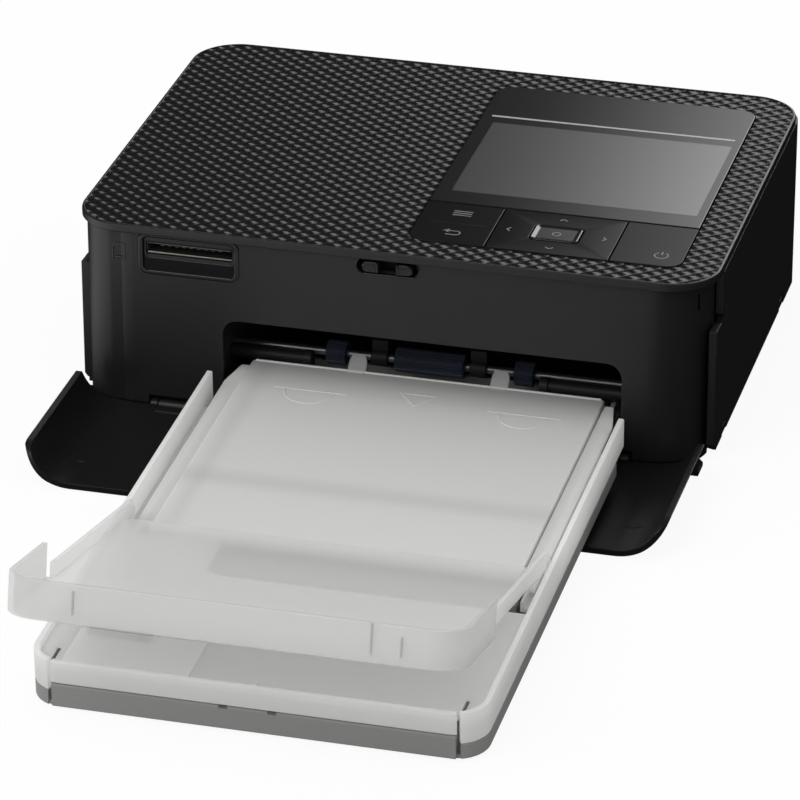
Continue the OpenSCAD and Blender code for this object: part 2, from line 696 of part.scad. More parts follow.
// Square frame of the cooling fan
module fan_frame() color(black) place() {
    difference() {
        upright(fan_at[0], fan_at[1], fan_w, fan_w, 2, rear_in - 10.3, rear_in - 0.3);
        rod_y(rear_in - 12, back_y, fan_at, fan_w / 2 - 1.4);
    }
    rod_y(rear_in - 10.3, rear_in - 8.9, fan_at, fan_w / 6);
    rod_y(rear_in - 10.3, rear_in - 3, fan_at, 1);
    for (a = [45, 165, 285]) translate([fan_at[0], rear_in - 8.9, fan_at[1]]) rotate([90, a, 0])
        translate([0, -0.9, 0]) cube([fan_w / 2 - 1, 1.8, 1.4]);
    span([fan_at[0] - 4, rear_in - 10.3, floor_z], [fan_at[0] + 4, rear_in - 7.5, fan_at[1] - fan_w / 2 + 0.5]);
}

// Fan wheel
module fan_rotor() color(black) place() difference() {
    union() {
        rod_y(rear_in - 8.5, rear_in - 1.2, fan_at, fan_w / 5.4);
        for (k = [0 : 6]) translate([fan_at[0], rear_in - 4.8, fan_at[1]]) rotate([0, k * 360 / 7, 0])
            rotate([35, 0, 0]) translate([fan_w / 6, -0.5, -3]) cube([fan_w / 3 - 2, 1, 6]);
    }
    rod_y(rear_in - 9, rear_in - 2.6, fan_at, 1 + run);
}

// Chassis side plate from x0, with its shaft holes
module chassis_plate(x0) difference() {
    span([x0, pickup_at[0] - 10, floor_z], [x0 + plate_t, head_pivot[0] + 8, 45]);
    span([x0 - 1, pickup_at[0] - 11, 26], [x0 + 3, feed_at[0] - 14, 50]);
    for (a = [pickup_at, feed_at, platen_at, pinch_at]) rod(x0 - 1, x0 + 3, a, 2 + run);
    rod(x0 - 1, x0 + 3, head_pivot, 1.5 + run);
}
module left_chassis_plate() color(steel) place() difference() {
    chassis_plate(plate_left);
    rod(plate_left - 1, plate_left + 3, takeup_at, 3 + run);
    rod(plate_left - 1, plate_left + 3, idler_at, 1.5);
}
module right_chassis_plate() color(steel) place() difference() {
    chassis_plate(plate_right);
    span([plate_right - 1, supply_at[0] - shell_r - 2, supply_at[1] - shell_r - 0.5],
        [plate_right + 3, takeup_at[0] + shell_r + 2, 60]);
}

// Crossbar with the two clips that hold the pick-up shaft down
clip_x = [path_x - 16.6, path_x + 12];
clip_w = 4.6;
module chassis_crossbar() color(black) place() {
    bar_z = pickup_at[1] + pickup_r + 2;
    span([plate_left + plate_t, pickup_at[0] + 1, bar_z], [plate_right, pickup_at[0] + 7, bar_z + 2]);
    for (x = clip_x) difference() {
        union() {
            rod(x - clip_w / 2, x + clip_w / 2, pickup_at, 2.5);
            span([x - clip_w / 2, pickup_at[0] - 0.5, pickup_at[1]], [x + clip_w / 2, pickup_at[0] + 2.5, bar_z + eps]);
        }
        rod(x - clip_w, x + clip_w, pickup_at, shaft_r + run);
    }
}

// Steel pick-up shaft with its gear
module pickup_shaft() color(steel) place() {
    rod(gear_x - 0.5, plate_right + 3, pickup_at, shaft_r);
    rod(plate_left - 0.8, plate_left + plate_t, pickup_at, 2);
    rod(plate_right, plate_right + plate_t + 0.5, pickup_at, 2);
    gear(gear_x, gear_w, pickup_at, pickup_teeth, pickup_turn, 0);
}

// Ribbed rubber rollers on the pick-up shaft
roller_spans = [[path_x - 31.9, path_x - 26.1], [path_x - 12, path_x + 8], [path_x + 22.5, path_x + 28.1]];
module pickup_rollers() color(rubber) place() for (s = roller_spans) difference() {
    rod(s[0], s[1], pickup_at, pickup_r);
    rod(s[0] - 1, s[1] + 1, pickup_at, shaft_r);
    for (k = [0 : 17]) translate([s[0] - 1, pickup_at[0], pickup_at[1]]) rotate([k * 20, 0, 0])
        translate([0, pickup_r - 0.35, -0.15]) cube([s[1] - s[0] + 2, 1, 0.3]);
}

// Guide tubes left and right of the rollers, fixed to the chassis plates
module paper_guide_tubes() color(black) place() for (s = [[plate_left + plate_t, path_x - 35.3, 1], [path_x + 30.6, plate_right, -1]]) {
    rod(s[0], s[1], guide_at, 2);
    rod(s[2] > 0 ? s[1] - 2.4 : s[0], s[2] > 0 ? s[1] : s[0] + 2.4, guide_at, 2.5);
}

// Metal feed roller
module feed_roller() color(steel) place() {
    rod(path_x - paper_w / 2 - 1, path_x + paper_w / 2 + 1, feed_at, feed_r);
    rod(gear_x, plate_right + 3, feed_at, 2);
}
module feed_gear() color([0.9, 0.9, 0.86]) place() gear(gear_x, gear_w, feed_at, feed_teeth, 0, 2);
module idler_gear() color([0.9, 0.9, 0.86]) place() {
    gear(gear_x, gear_w, idler_at, idler_teeth, idler_turn, 0);
    rod(gear_x - 1, plate_left + plate_t, idler_at, 1.5 - run);
}

// Pinch roller over the feed roller
module pinch_roller() color(rubber) place() {
    rod(path_x - paper_w / 2 - 1, path_x + paper_w / 2 + 1, pinch_at, pinch_r);
    rod(plate_left - 0.6, plate_right + plate_t + 0.6, pinch_at, 2);
}

// Rubber platen roller under the print head
module platen_roller() color(rubber) place() {
    rod(path_x - paper_w / 2 - 2, path_x + paper_w / 2 + 2, platen_at, platen_r);
    rod(plate_left - 0.6, plate_right + plate_t + 0.6, platen_at, 2);
}

// Thermal print head: ceramic strip with its finned heat sink
head_z = path_z + 1.2;
module print_head() color([0.75, 0.76, 0.78]) place() {
    head_w = paper_w / 2 + 2;
    span([path_x - head_w, platen_at[0] - 6, head_z], [path_x + head_w, platen_at[0] + 6, head_z + 2]);
    for (k = [0 : 3]) span([path_x - head_w + 2, platen_at[0] - 5.5 + 3 * k, head_z + 2 - eps],
        [path_x + head_w - 2, platen_at[0] - 4 + 3 * k, head_z + 11]);
}

// Two arms that carry the print head on a cross shaft
module head_arms() color(steel) place() {
    arm_x = paper_w / 2 + 3;
    for (s = [-1, 1]) {
        x = path_x + s * arm_x;
        span([x - 1, platen_at[0] - 5, head_z], [x + 1, platen_at[0] + 5, head_z + 9]);
        span([x - 1, platen_at[0] + 4, head_z], [x + 1, head_pivot[0] + 3, head_z + 3.6]);
        span([x - 1, head_pivot[0] - 3, head_z], [x + 1, head_pivot[0] + 3, head_pivot[1] + 3]);
    }
    span([path_x - arm_x, head_pivot[0] - 5, head_z + 0.5], [path_x + arm_x, head_pivot[0] - 2.5, head_z + 8]);
    rod(plate_left - 0.6, plate_right + plate_t + 0.6, head_pivot, 1.5);
}

// Motors and their carrier plate
module motor_plate() color(steel) place() {
    difference() {
        span([gear_x - 3.4, feed_at[0] - 12, 12], [gear_x - 2.2, takeup_at[0] + 14, 42]);
        rod(gear_x - 5, gear_x, motor_at, 3.2);
        rod(gear_x - 5, gear_x, ribbon_motor_at, 3.2);
        rod(gear_x - 5, gear_x, takeup_at, 3.2);
        rod(gear_x - 5, gear_x, feed_at, 3.2);
    }
    for (p = [[feed_at[0] + 14, 13.8], [feed_at[0] + 24, 39.5], [takeup_at[0] + 12, 14]])
        rod(gear_x - 2.2, plate_left, p, 1.6);
}
module feed_motor() color([0.3, 0.31, 0.33]) place() {
    rod(6.4 - core_x, gear_x - 3.4, motor_at, 9);
    rod(gear_x - 3.5, gear_x - 2.2, motor_at, 3);
}
module feed_pinion() color([0.9, 0.88, 0.8]) place() {
    gear(gear_x, gear_w, motor_at, pinion_teeth, motor_turn, 0);
    rod(gear_x - 1.8, gear_x + gear_w + 1, motor_at, 1);
}
module ribbon_motor() color([0.3, 0.31, 0.33]) place() {
    rod(8.4 - core_x, gear_x - 3.4, ribbon_motor_at, 8);
    rod(gear_x - 3.5, gear_x - 2.2, ribbon_motor_at, 3);
}
module ribbon_pinion() color([0.9, 0.88, 0.8]) place() {
    gear(gear_x, gear_w, ribbon_motor_at, pinion_teeth, ribbon_motor_turn, 0);
    rod(gear_x - 1.8, gear_x + gear_w + 1, ribbon_motor_at, 1);
}

// Hub that drives the take-up spool
module ribbon_drive_hub() color([0.9, 0.88, 0.8]) place() {
    gear(gear_x, gear_w, takeup_at, hub_teeth, 0, 0);
    rod(gear_x + gear_w - eps, hub_end, takeup_at, 3);
    for (a = [0, 90]) translate([hub_end - eps, takeup_at[0], takeup_at[1]]) rotate([a, 0, 0])
        translate([0, -2.6, -0.6]) cube([dog_l, 5.2, 1.2]);
}

// Ink cassette: two half shells round the spools, joined at both ends
module ink_cassette_case() color([0.2, 0.2, 0.21]) place() {
    for (a = [supply_at, takeup_at]) difference() {
        rod(ink_x0, ink_x1, a, shell_r);
        rod(ink_x0 + 1.5, ink_x1 - 1.5, a, shell_r - 1.3);
        rod(ink_x0 - 1, ink_x0 + 2, a, 3 + run);
        s = a[0] == supply_at[0] ? 1 : -1;
        translate([ink_x0 + 1.5, a[0], a[1]]) rotate([s > 0 ? -35 : -145, 0, 0]) translate([0, 0, -5]) cube([ink_x1 - ink_x0 - 3, 20, 10]);
    }
    for (a = [supply_at, takeup_at]) difference() {
        rod(ink_x1 - 6, ink_x1 - 1.4, a, 4.5);
        rod(ink_x1 - 7, ink_x1 - 1.9, a, 3 + run);
    }
    for (x = [ink_x0, ink_x1 - 3]) span([x, supply_at[0] + shell_r - 0.6, supply_at[1] + 2],
        [x + 3, takeup_at[0] - shell_r + 0.6, supply_at[1] + shell_r]);
}

// Spool in the ink cassette, with the film wound on it
module spool(a, wound) {
    rod(spool_x0, ink_x1 - 2.3, a, 3);
    for (x = [path_x - paper_w / 2 - 3, path_x + paper_w / 2 + 1]) rod(x, x + 2, a, spool_r);
    rod(path_x - paper_w / 2 - 1, path_x + paper_w / 2 + 1, a, wound);
}
module supply_spool() color([0.85, 0.85, 0.8]) place() spool(supply_at, supply_wound);
module takeup_spool() color([0.85, 0.85, 0.8]) place() difference() {
    spool(takeup_at, takeup_wound);
    for (b = [0, 90]) translate([spool_x0 - 1, takeup_at[0], takeup_at[1]]) rotate([b, 0, 0])
        translate([0, -2.75, -0.75]) cube([dog_l + 0.8, 5.5, 1.5]);
}

// Ink film from spool to spool, under the print head
module ink_ribbon() color([0.15, 0.15, 0.2]) place() {
    film = 0.25;
    low = head_z - 0.8;
    p = [platen_at[0] - 7.5, low];
    q = [platen_at[0] + 7.5, low];
    path = [touch(supply_at, supply_wound + 0.6, p, 1), p, q, touch(takeup_at, takeup_wound + 0.6, q, -1)];
    translate([path_x - paper_w / 2, 0, 0]) rotate([90, 0, 90]) linear_extrude(paper_w) polygon(concat(
        path, [for (k = [3 : -1 : 0]) path[k] + [0, -film]]));
}

// Door over the ink cassette, hinged along its lower edge
module ink_door() color(satin) place() difference() {
    union() {
        difference() {
            side_shell(0);
            span([-side_x - 1, -body_d, 0], [core_x, body_d, body_h]);
            span([-side_x - 1, -body_d, 0], [side_x + 1, panel_y, body_h]);
            span([-side_x - 1, ink_door_end, 0], [side_x + 1, body_d, body_h]);
            notch(1);
            translate([side_x - 1, panel_y, panel_z]) rotate([45, 0, 0]) cube([side_t + 4, 3.6, 3.6], center = true);
        }
    }
    for (y = ear_y) {
        span([core_x - 1, y - ear_w / 2 - 0.5, 0], [side_x + 1, y + ear_w / 2 + 0.5, ink_pin[1] + 1.9]);
        rod_y(y - ear_w / 2 - 4, y + ear_w / 2 + 4, ink_pin, ink_pin_r + run);
    }
    for (k = [0 : 2]) span([side_x - 0.3, notch_y + 3 + 1.6 * k, rim_z - 13], [side_x + 1, notch_y + 3.7 + 1.6 * k, rim_z - 7]);
    span([core_x - 1, -body_d, 0], [core_x + gap, body_d, body_h]);
    difference() {
        span([core_x, -body_d, 0], [ink_pin[0], body_d, ink_pin[1]]);
        rod_y(-body_d - 1, body_d + 1, ink_pin, ink_pin[0] - core_x - gap);
    }
}

// Pins of the ink door
module ink_door_pins() color(steel) place() for (y = ear_y) rod_y(y - ear_w / 2 - 3.6, y + ear_w / 2 + 3.6, ink_pin, ink_pin_r);

// Outline of the front door across its width, as drawn lying open
module door_section() intersection() {
    tall = 4 * door_bend;
    difference() {
        translate([0, tall / 2]) rounded(body_w, tall, door_bend + door_t);
        translate([0, tall / 2]) rounded(body_w - 2 * door_t, tall - 2 * door_t, door_bend);
    }
    translate([-side_x, 0]) square([body_w, door_flange]);
}

// Front door with turned-up sides, lying open on the table
door_far = door_pin[0] - door_l;
module front_door() color(black) place() {
    door_near = rim_y - gap;
    tip_z = door_z + door_t + 1.2;
    tip_w = door_flange - door_t - 1.2;
    difference() {
        translate([0, door_near, door_z]) rotate([90, 0, 0]) linear_extrude(door_near - door_far) door_section();
        // round flange tips, seen from the side
        for (s = [-1, 1]) difference() {
            span([s * side_x - 30, door_far - 1, tip_z], [s * side_x + 30, door_far + tip_w, door_z + door_flange + 1]);
            rod(-side_x - 40, side_x + 40, [door_far + tip_w, tip_z], tip_w);
        }
        // round corners in plan
        for (s = [-1, 1]) translate([s * (side_x - door_tip_r), door_far + door_tip_r, -1]) difference() {
            translate([s > 0 ? 0 : -2 * door_tip_r, -2 * door_tip_r, 0]) cube([2 * door_tip_r, 2 * door_tip_r, 30]);
            cylinder(h = 40, r = door_tip_r);
        }
        for (s = [-1, 1]) span([s * 79 - 2.4, door_far + 13, door_z + door_t - 0.25], [s * 79 + 2.4, door_far + 13.5, door_z + door_t + 1]);
    }
    for (s = [-1, 1]) difference() {
        union() {
            span([s > 0 ? door_arm[0] : -door_arm[1], door_near - 3, door_z], [s > 0 ? door_arm[1] : -door_arm[0], door_pin[0], door_pin[1] + 0.4]);
            rod(s > 0 ? door_arm[0] : -door_arm[1], s > 0 ? door_arm[1] : -door_arm[0], door_pin, knuckle_r);
        }
        rod(-side_x, side_x, door_pin, hinge_r + run);
    }
    span([-3, door_far + 1.2, door_z + door_t - eps], [3, door_far + 2.6, door_z + door_t + 0.9]);
}

// Hinge pins of the front door, fixed in the lower shell's lugs
module door_hinge_pins() color(grey) place() for (s = [-1, 1])
    rod(s > 0 ? door_arm[0] + 2 : -door_arm[1] - gap - lug_w, s > 0 ? door_arm[1] + gap + lug_w : -door_arm[0] - 2, door_pin, hinge_r);

// Plan of the cassette's wide part, shrunk by g
module tray_plan(g) intersection() {
    translate([0, tray_r - tray_l / 2]) rounded(tray_w - 2 * g, tray_l + 2 * tray_r - 2 * g, tray_r - g);
    translate([-tray_w, -tray_l]) square([2 * tray_w, tray_l]);
}

// Places in the cassette's own frame
bar_w = 105.4;
bar_h = 6.7;
shelf_h = 6.7;
deck_h = tray_h - 1.7;
deck_y = -106;
deck_step = 17.5;
deck_split = -29;
wall_y = -96;
lid_end = 15.4;
lid_pin = [-84.5, lid_h - 1.1];
lid_pin_r = 0.8;
tab_x = 18.7;
tab_w = 3.6;
skirt_end = -9;
neck_in = neck_w / 2 - 1.4;
inside = tray_w / 2 - tray_wall;
plate_pin = [-44.5, 2.35];

// Grey lower part: floor, side strips, inner walls and the front bar
module cassette_base() color(grey) in_cassette() {
    difference() {
        union() {
            difference() {
                linear_extrude(base_h) tray_plan(0);
                translate([0, 0, 1.2]) linear_extrude(base_h) tray_plan(tray_wall);
            }
            span([-neck_w / 2, skirt_end - 1, 0], [neck_w / 2, neck_l, 1.2]);
        }
        for (s = [-1, 1]) span([s * (inside + neck_w / 2) / 2 - (inside - neck_w / 2) / 2, skirt_end, -1],
            [s * (inside + neck_w / 2) / 2 + (inside - neck_w / 2) / 2, 1, base_h + 1]);
        for (s = [-1, 1]) span([s * (bar_w / 2 + 0.3) - 0.3, -tray_l - 1, -1], [s * (bar_w / 2 + 0.3) + 0.3, -tray_l + 3.4, base_h + 1]);
    }
    for (s = [-1, 1]) difference() {
        union() {
            span([s * (neck_in + 0.7) - 0.7, wall_y - 40, 0], [s * (neck_in + 0.7) + 0.7, neck_l, 5.2]);
            span([s * (neck_in + 0.7) - 0.7, wall_y, 0], [s * (neck_in + 0.7) + 0.7, lid_end, lid_h - 2.4]);
            span([s * (neck_in + 0.7) - 0.7, lid_pin[0] - 2.2, 0], [s * (neck_in + 0.7) + 0.7, lid_pin[0] + 2.2, lid_pin[1] + 1.4]);
        }
        rod(-tray_w, tray_w, lid_pin, lid_pin_r + run);
        rod(-tray_w, tray_w, plate_pin, lid_pin_r + run);
    }
    span([-neck_w / 2, neck_l - 1.4, 0], [neck_w / 2, neck_l, 3.4]);
    difference() {
        span([-bar_w / 2, -tray_l + 0.4, 0], [bar_w / 2, -tray_l + 3, bar_h]);
        span([-2, -tray_l - 1, bar_h - 1.4], [2, -tray_l + 4, bar_h + 1]);
    }
    for (x = [-36, -12, 12, 36]) span([x - 0.5, -tray_l + 3 - eps, 0], [x + 0.5, -tray_l + 12, 5]);
}

// Translucent upper part: outer walls, side shelves and front deck
module cassette_frame() color(frosted) in_cassette() {
    difference() {
        translate([0, 0, base_h]) linear_extrude(tray_h - base_h) difference() {
            tray_plan(0);
            tray_plan(tray_wall);
        }
        span([-bar_w / 2 - 0.3, -tray_l - tray_r, 0], [bar_w / 2 + 0.3, -tray_l + tray_wall + 2, bar_h + gap]);
        rod(-tray_w, tray_w, [flap_y, flap_z], flap_pin_r + run);
        for (s = [-1, 1]) translate([s * tray_w / 2, 0, 0]) rotate([45, 0, 0]) cube([6, 3, 3], center = true);
    }
    difference() {
        translate([0, 0, shelf_h - 1.2]) linear_extrude(1.2) tray_plan(tray_wall - eps);
        span([-neck_w / 2 - gap, -tray_l, 0], [neck_w / 2 + gap, 1, shelf_h + 1]);
        span([-tray_w, skirt_end, 0], [tray_w, 1, shelf_h + 1]);
    }
    for (s = [-1, 1]) span([s * (neck_w / 2 + gap + 0.5) - 0.5, skirt_end - 1, shelf_h - 1.2],
        [s * (neck_w / 2 + gap + 0.5) + 0.5, -0.6, shelf_h]);
    difference() {
        translate([0, 0, deck_h - 1.2]) linear_extrude(1.2) intersection() {
            tray_plan(tray_wall - eps);
            union() {
                translate([-tray_w, -2 * tray_l]) square([2 * tray_w, 2 * tray_l + deck_y]);
                translate([-tray_w, -2 * tray_l]) square([tray_w + deck_split, 2 * tray_l + deck_y + deck_step]);
            }
        }
        translate([0, -tray_l + 24, deck_h - 0.5]) linear_extrude(1) rounded(86, 26, 4);
    }
    span([-inside - eps, deck_y + deck_step - 1.2, shelf_h - 1.2], [-neck_w / 2 - gap, deck_y + deck_step, deck_h]);
    span([neck_w / 2 + gap, deck_y - 1.2, shelf_h - 1.2], [inside + eps, deck_y, deck_h]);
}

// Lid over the paper, with two tabs at its free edge
module inner_lid() color(frosted) in_cassette() {
    difference() {
        span([-lid_w / 2, lid_pin[0], lid_h - 1.2], [lid_w / 2, lid_end, lid_h]);
        for (s = [-1, 1]) translate([s * (tab_x + tab_w / 2), lid_end - 22, lid_h - 0.3]) cylinder(h = 1, r = 7.5);
        span([-40, -62, lid_h - 0.25], [40, -55, lid_h + 1]);
    }
    for (s = [-1, 1]) {
        span([s * (lid_w / 2 - 0.5) - 0.5, lid_pin[0] + 4, lid_h - 1.9], [s * (lid_w / 2 - 0.5) + 0.5, lid_end, lid_h - 1]);
        rod(s * (lid_w / 2 + 0.3) - 1.4, s * (lid_w / 2 + 0.3) + 1.4, lid_pin, lid_pin_r);
        translate([s * (tab_x + tab_w / 2) - tab_w / 2, 0, 0]) rotate([90, 0, 90]) linear_extrude(tab_w) polygon([
            [lid_end - 5, lid_h - 1.2], [lid_end + 3, lid_h + 1.2], [lid_end + 3, lid_h + 2.6], [lid_end - 5, lid_h]
        ]);
    }
    rod(-lid_w / 2, lid_w / 2, lid_pin, 1.1);
}

// Outer lid, folded open to catch the prints
module flap_plan(g) {
    full = flap_w / 2;
    low = full - flap_jog;
    mid = flap_l - flap_high;
    translate([-low + g, 5.4 + g]) square([2 * low - 2 * g, mid - 5.4 + 10]);
    translate([0, mid + flap_high / 2 - tray_r]) intersection() {
        rounded(2 * full - 2 * g, flap_high + 2 * tray_r - 2 * g, tray_r - g);
        translate([-full, -flap_high / 2 + tray_r + g]) square([2 * full, 2 * flap_high]);
    }
}
module output_tray() color(frosted) in_flap() {
    low = flap_w / 2 - flap_jog;
    mid = flap_l - flap_high;
    base = -flap_drop;
    translate([0, 0, base]) linear_extrude(flap_t) flap_plan(0);
    difference() {
        translate([0, 0, base]) linear_extrude(flap_wall_h) difference() {
            flap_plan(0);
            flap_plan(flap_t);
            translate([-flap_w, -1]) square([2 * flap_w, mid + 1.2]);
        }
        for (x = [-41.5, 32.5, 41.5]) span([x - 0.3, flap_l - 0.4, base + 2], [x + 0.3, flap_l + 1, base + flap_wall_h - 1.5]);
    }
    for (s = [-1, 1]) {
        span([s * (low - flap_t / 2) - flap_t / 2, 0, -0.4], [s * (low - flap_t / 2) + flap_t / 2, mid - 1.2, base + flap_low_h]);
        span([s * (low - flap_t / 2) - flap_t / 2, 3, base], [s * (low - flap_t / 2) + flap_t / 2, mid - 1.2, 0]);
        rod(s * (low - flap_t / 2) - flap_t / 2, s * (low - flap_t / 2) + flap_t / 2, [0, 0], 2);
        rod(s * low - 0.4, s * low + 2, [0, 0], flap_pin_r);
    }
}

// Sprung plate under the paper
module lift_plate() color(steel) in_cassette() {
    difference() {
        span([-49, plate_pin[0] + 1, 1.5], [49, neck_l - 5, 2.1]);
        for (x = [-26, 26]) span([x - 4, lid_end + 1, 0], [x + 4, lid_end + 9, 3]);
    }
    rod(-neck_in - 0.9, neck_in + 0.9, plate_pin, lid_pin_r);
    span([-49, plate_pin[0], 1.5], [49, plate_pin[0] + 1.2, 2.1]);
}

bottom_case();
rubber_feet();
case_screws();
top_cover();
front_panel();
left_side_panel();
ribbon_bay_frame();
rear_panel();
control_bezel();
display_window();
lcd_module();
menu_back_key();
four_way_spider();
four_way_key();
ok_key();
power_key();
key_board();
card_socket();
latch_housing();
left_latch_knob();
right_latch_knob();
main_board();
usb_socket();
power_inlet();
battery_terminal_cover();
fan_frame();
fan_rotor();
left_chassis_plate();
right_chassis_plate();
chassis_crossbar();
pickup_shaft();
pickup_rollers();
paper_guide_tubes();
feed_roller();
feed_gear();
idler_gear();
pinch_roller();
platen_roller();
print_head();
head_arms();
feed_motor();
feed_pinion();
ribbon_motor();
ribbon_pinion();
ribbon_drive_hub();
motor_plate();
ink_cassette_case();
supply_spool();
takeup_spool();
ink_ribbon();
ink_door();
ink_door_pins();
front_door();
door_hinge_pins();
cassette_base();
cassette_frame();
inner_lid();
output_tray();
lift_plate();
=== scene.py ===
import math

import bmesh
import bpy
import numpy as np
from mathutils import Matrix, Vector


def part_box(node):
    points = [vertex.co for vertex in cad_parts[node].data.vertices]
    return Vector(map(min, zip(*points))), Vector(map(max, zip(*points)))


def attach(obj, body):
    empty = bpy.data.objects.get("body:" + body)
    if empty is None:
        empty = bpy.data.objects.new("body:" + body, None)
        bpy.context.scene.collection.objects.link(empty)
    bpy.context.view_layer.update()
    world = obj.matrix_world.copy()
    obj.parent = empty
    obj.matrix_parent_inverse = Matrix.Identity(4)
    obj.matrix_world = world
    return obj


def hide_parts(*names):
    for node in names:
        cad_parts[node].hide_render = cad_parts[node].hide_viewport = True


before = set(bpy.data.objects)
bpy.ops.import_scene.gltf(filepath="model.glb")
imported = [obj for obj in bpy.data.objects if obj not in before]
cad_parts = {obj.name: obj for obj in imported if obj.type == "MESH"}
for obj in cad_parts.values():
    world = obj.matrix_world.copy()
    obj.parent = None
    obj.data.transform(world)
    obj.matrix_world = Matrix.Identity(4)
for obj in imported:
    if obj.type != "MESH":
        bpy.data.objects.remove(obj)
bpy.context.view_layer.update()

# Everything below is worked out in millimetres round the middle of the printer's footprint,
# with X to its right, Y to its back and Z up, and goes to metres in the frame at the end.
body_low, body_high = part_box("top_cover")
BODY_Y = (body_low[1] + body_high[1]) / 2


def metres(points):
    """Printer millimetres to frame metres: (x, y, z) / 1000 + (0, BODY_Y, 0)."""
    return np.asarray(points, float) / 1000 + (0, BODY_Y, 0)


# Room: the photo is a cut-out on white. A wide soft light stands at the front left, and one
# bright panel behind and to the right shows in the cover, the screen and the rims.
def node(nt, kind, operation=None, inputs=()):
    """New shader node with its operation and plain values for some inputs."""
    new = nt.nodes.new("ShaderNode" + kind)
    if operation:
        new.operation = operation
    for key, value in inputs:
        new.inputs[key].default_value = value
    return new


def grade(nt, value, ends, smooth=False):
    """Value mapped from (ends[0], ends[1]) to (ends[2], ends[3])."""
    span = node(nt, "MapRange", inputs=zip(("From Min", "From Max", "To Min", "To Max"), ends))
    if smooth:
        span.interpolation_type = "SMOOTHSTEP"
    nt.links.new(value, span.inputs["Value"])
    return span.outputs["Result"]


def combine(nt, operation, a, b):
    """Math of two values; b may be a plain number."""
    new = node(nt, "Math", operation)
    nt.links.new(a, new.inputs[0])
    if isinstance(b, float):
        new.inputs[1].default_value = b
    else:
        nt.links.new(b, new.inputs[1])
    return new.outputs[0]


def mixed(nt, share, a, b):
    """Shader a where share is 0 and b where it is 1; share may be a plain number."""
    new = node(nt, "MixShader")
    if isinstance(share, float):
        new.inputs["Fac"].default_value = share
    else:
        nt.links.new(share, new.inputs["Fac"])
    nt.links.new(a, new.inputs[1])
    nt.links.new(b, new.inputs[2])
    return new.outputs["Shader"]


# Direction of the bright panel, and its strength against the cosine of the angle to it
PANEL = (0.101, 0.858, 0.505)
PANEL_EDGE = (0.945, 0.977, 0.04, 4.6)


def room():
    world = bpy.data.worlds.new("white_room")
    bpy.context.scene.world = world
    world.use_nodes = True
    nt = world.node_tree
    nt.nodes.clear()
    white = (1, 1, 1, 1)
    seen = node(nt, "Background", inputs=(("Color", white), ("Strength", 1.0)))
    soft = node(nt, "Background", inputs=(("Color", white), ("Strength", 0.8)))
    shine = node(nt, "Background", inputs=(("Color", white),))
    facing = node(nt, "VectorMath", "DOT_PRODUCT", ((1, PANEL),))
    nt.links.new(node(nt, "TexCoord").outputs["Generated"], facing.inputs[0])
    strength = grade(nt, facing.outputs["Value"], PANEL_EDGE, smooth=True)
    nt.links.new(strength, shine.inputs["Strength"])
    rays = node(nt, "LightPath").outputs
    lit = mixed(nt, rays["Is Glossy Ray"], soft.outputs["Background"], shine.outputs["Background"])
    result = mixed(nt, rays["Is Camera Ray"], lit, seen.outputs["Background"])
    nt.links.new(result, node(nt, "OutputWorld").inputs["Surface"])


def lamp(name, place, target, size, power):
    """Square area light at place that faces target, both in metres."""
    data = bpy.data.lights.new(name, "AREA")
    data.shape = "RECTANGLE"
    data.size, data.size_y = size
    data.energy = power
    ob = bpy.data.objects.new(name, data)
    bpy.context.scene.collection.objects.link(ob)
    ob.location = place
    away = ob.location - Vector(target)
    ob.rotation_euler = away.to_track_quat("Z", "Y").to_euler()


room()
lamp("key_light", (-0.9, -1.3, 1.5), (0, 0, 0.03), (1.2, 1.2), 16.0)


# Floor: white to the camera, with the object's shadow. In reflections it is bright in front and
# to the left, and dark beside and behind.
# Each glow is a product of grades along two axes: (from, to, strength there, and there)
FRONT_GLOW = (("Y", (-0.11, -0.04, 1.15, 0.05)), ("X", (-0.10, 0.05, 1.0, 0.15)))
LEFT_GLOW = (("X", (-0.15, -0.095, 1.4, 0.0)), ("Y", (0.02, 0.08, 1.0, 0.0)))


def floor():
    size = 6.0
    mesh = bpy.data.meshes.new("floor")
    corners = [(-size, -size, 0), (size, -size, 0), (size, size, 0), (-size, size, 0)]
    mesh.from_pydata(corners, [], [(0, 1, 2, 3)])
    ob = bpy.data.objects.new("floor", mesh)
    bpy.context.scene.collection.objects.link(ob)
    paint = bpy.data.materials.new("floor_paint")
    paint.use_nodes = True
    nt = paint.node_tree
    sh = nt.nodes["Principled BSDF"]
    sh.inputs["Base Color"].default_value = (0.5, 0.5, 0.5, 1)
    sh.inputs["Roughness"].default_value = 0.9
    sh.inputs["Specular IOR Level"].default_value = 0.1
    rays = node(nt, "LightPath").outputs
    seen = combine(nt, "MAXIMUM", rays["Is Camera Ray"], rays["Is Transmission Ray"])
    white = node(nt, "Emission", inputs=(("Strength", 1.08),))
    split = node(nt, "SeparateXYZ")
    nt.links.new(node(nt, "TexCoord").outputs["Object"], split.inputs["Vector"])
    glows = []
    for glow in (FRONT_GLOW, LEFT_GLOW):
        steps = [grade(nt, split.outputs[axis], ends) for axis, ends in glow]
        glows.append(combine(nt, "MULTIPLY", *steps))
    shine = node(nt, "Emission")
    nt.links.new(combine(nt, "MAXIMUM", *glows), shine.inputs["Strength"])
    share = combine(nt, "MULTIPLY", seen, 0.85)
    plain = mixed(nt, share, sh.outputs["BSDF"], white.outputs["Emission"])
    result = mixed(nt, rays["Is Glossy Ray"], plain, shine.outputs["Emission"])
    nt.links.new(result, nt.nodes["Material Output"].inputs["Surface"])
    mesh.materials.append(paint)


floor()


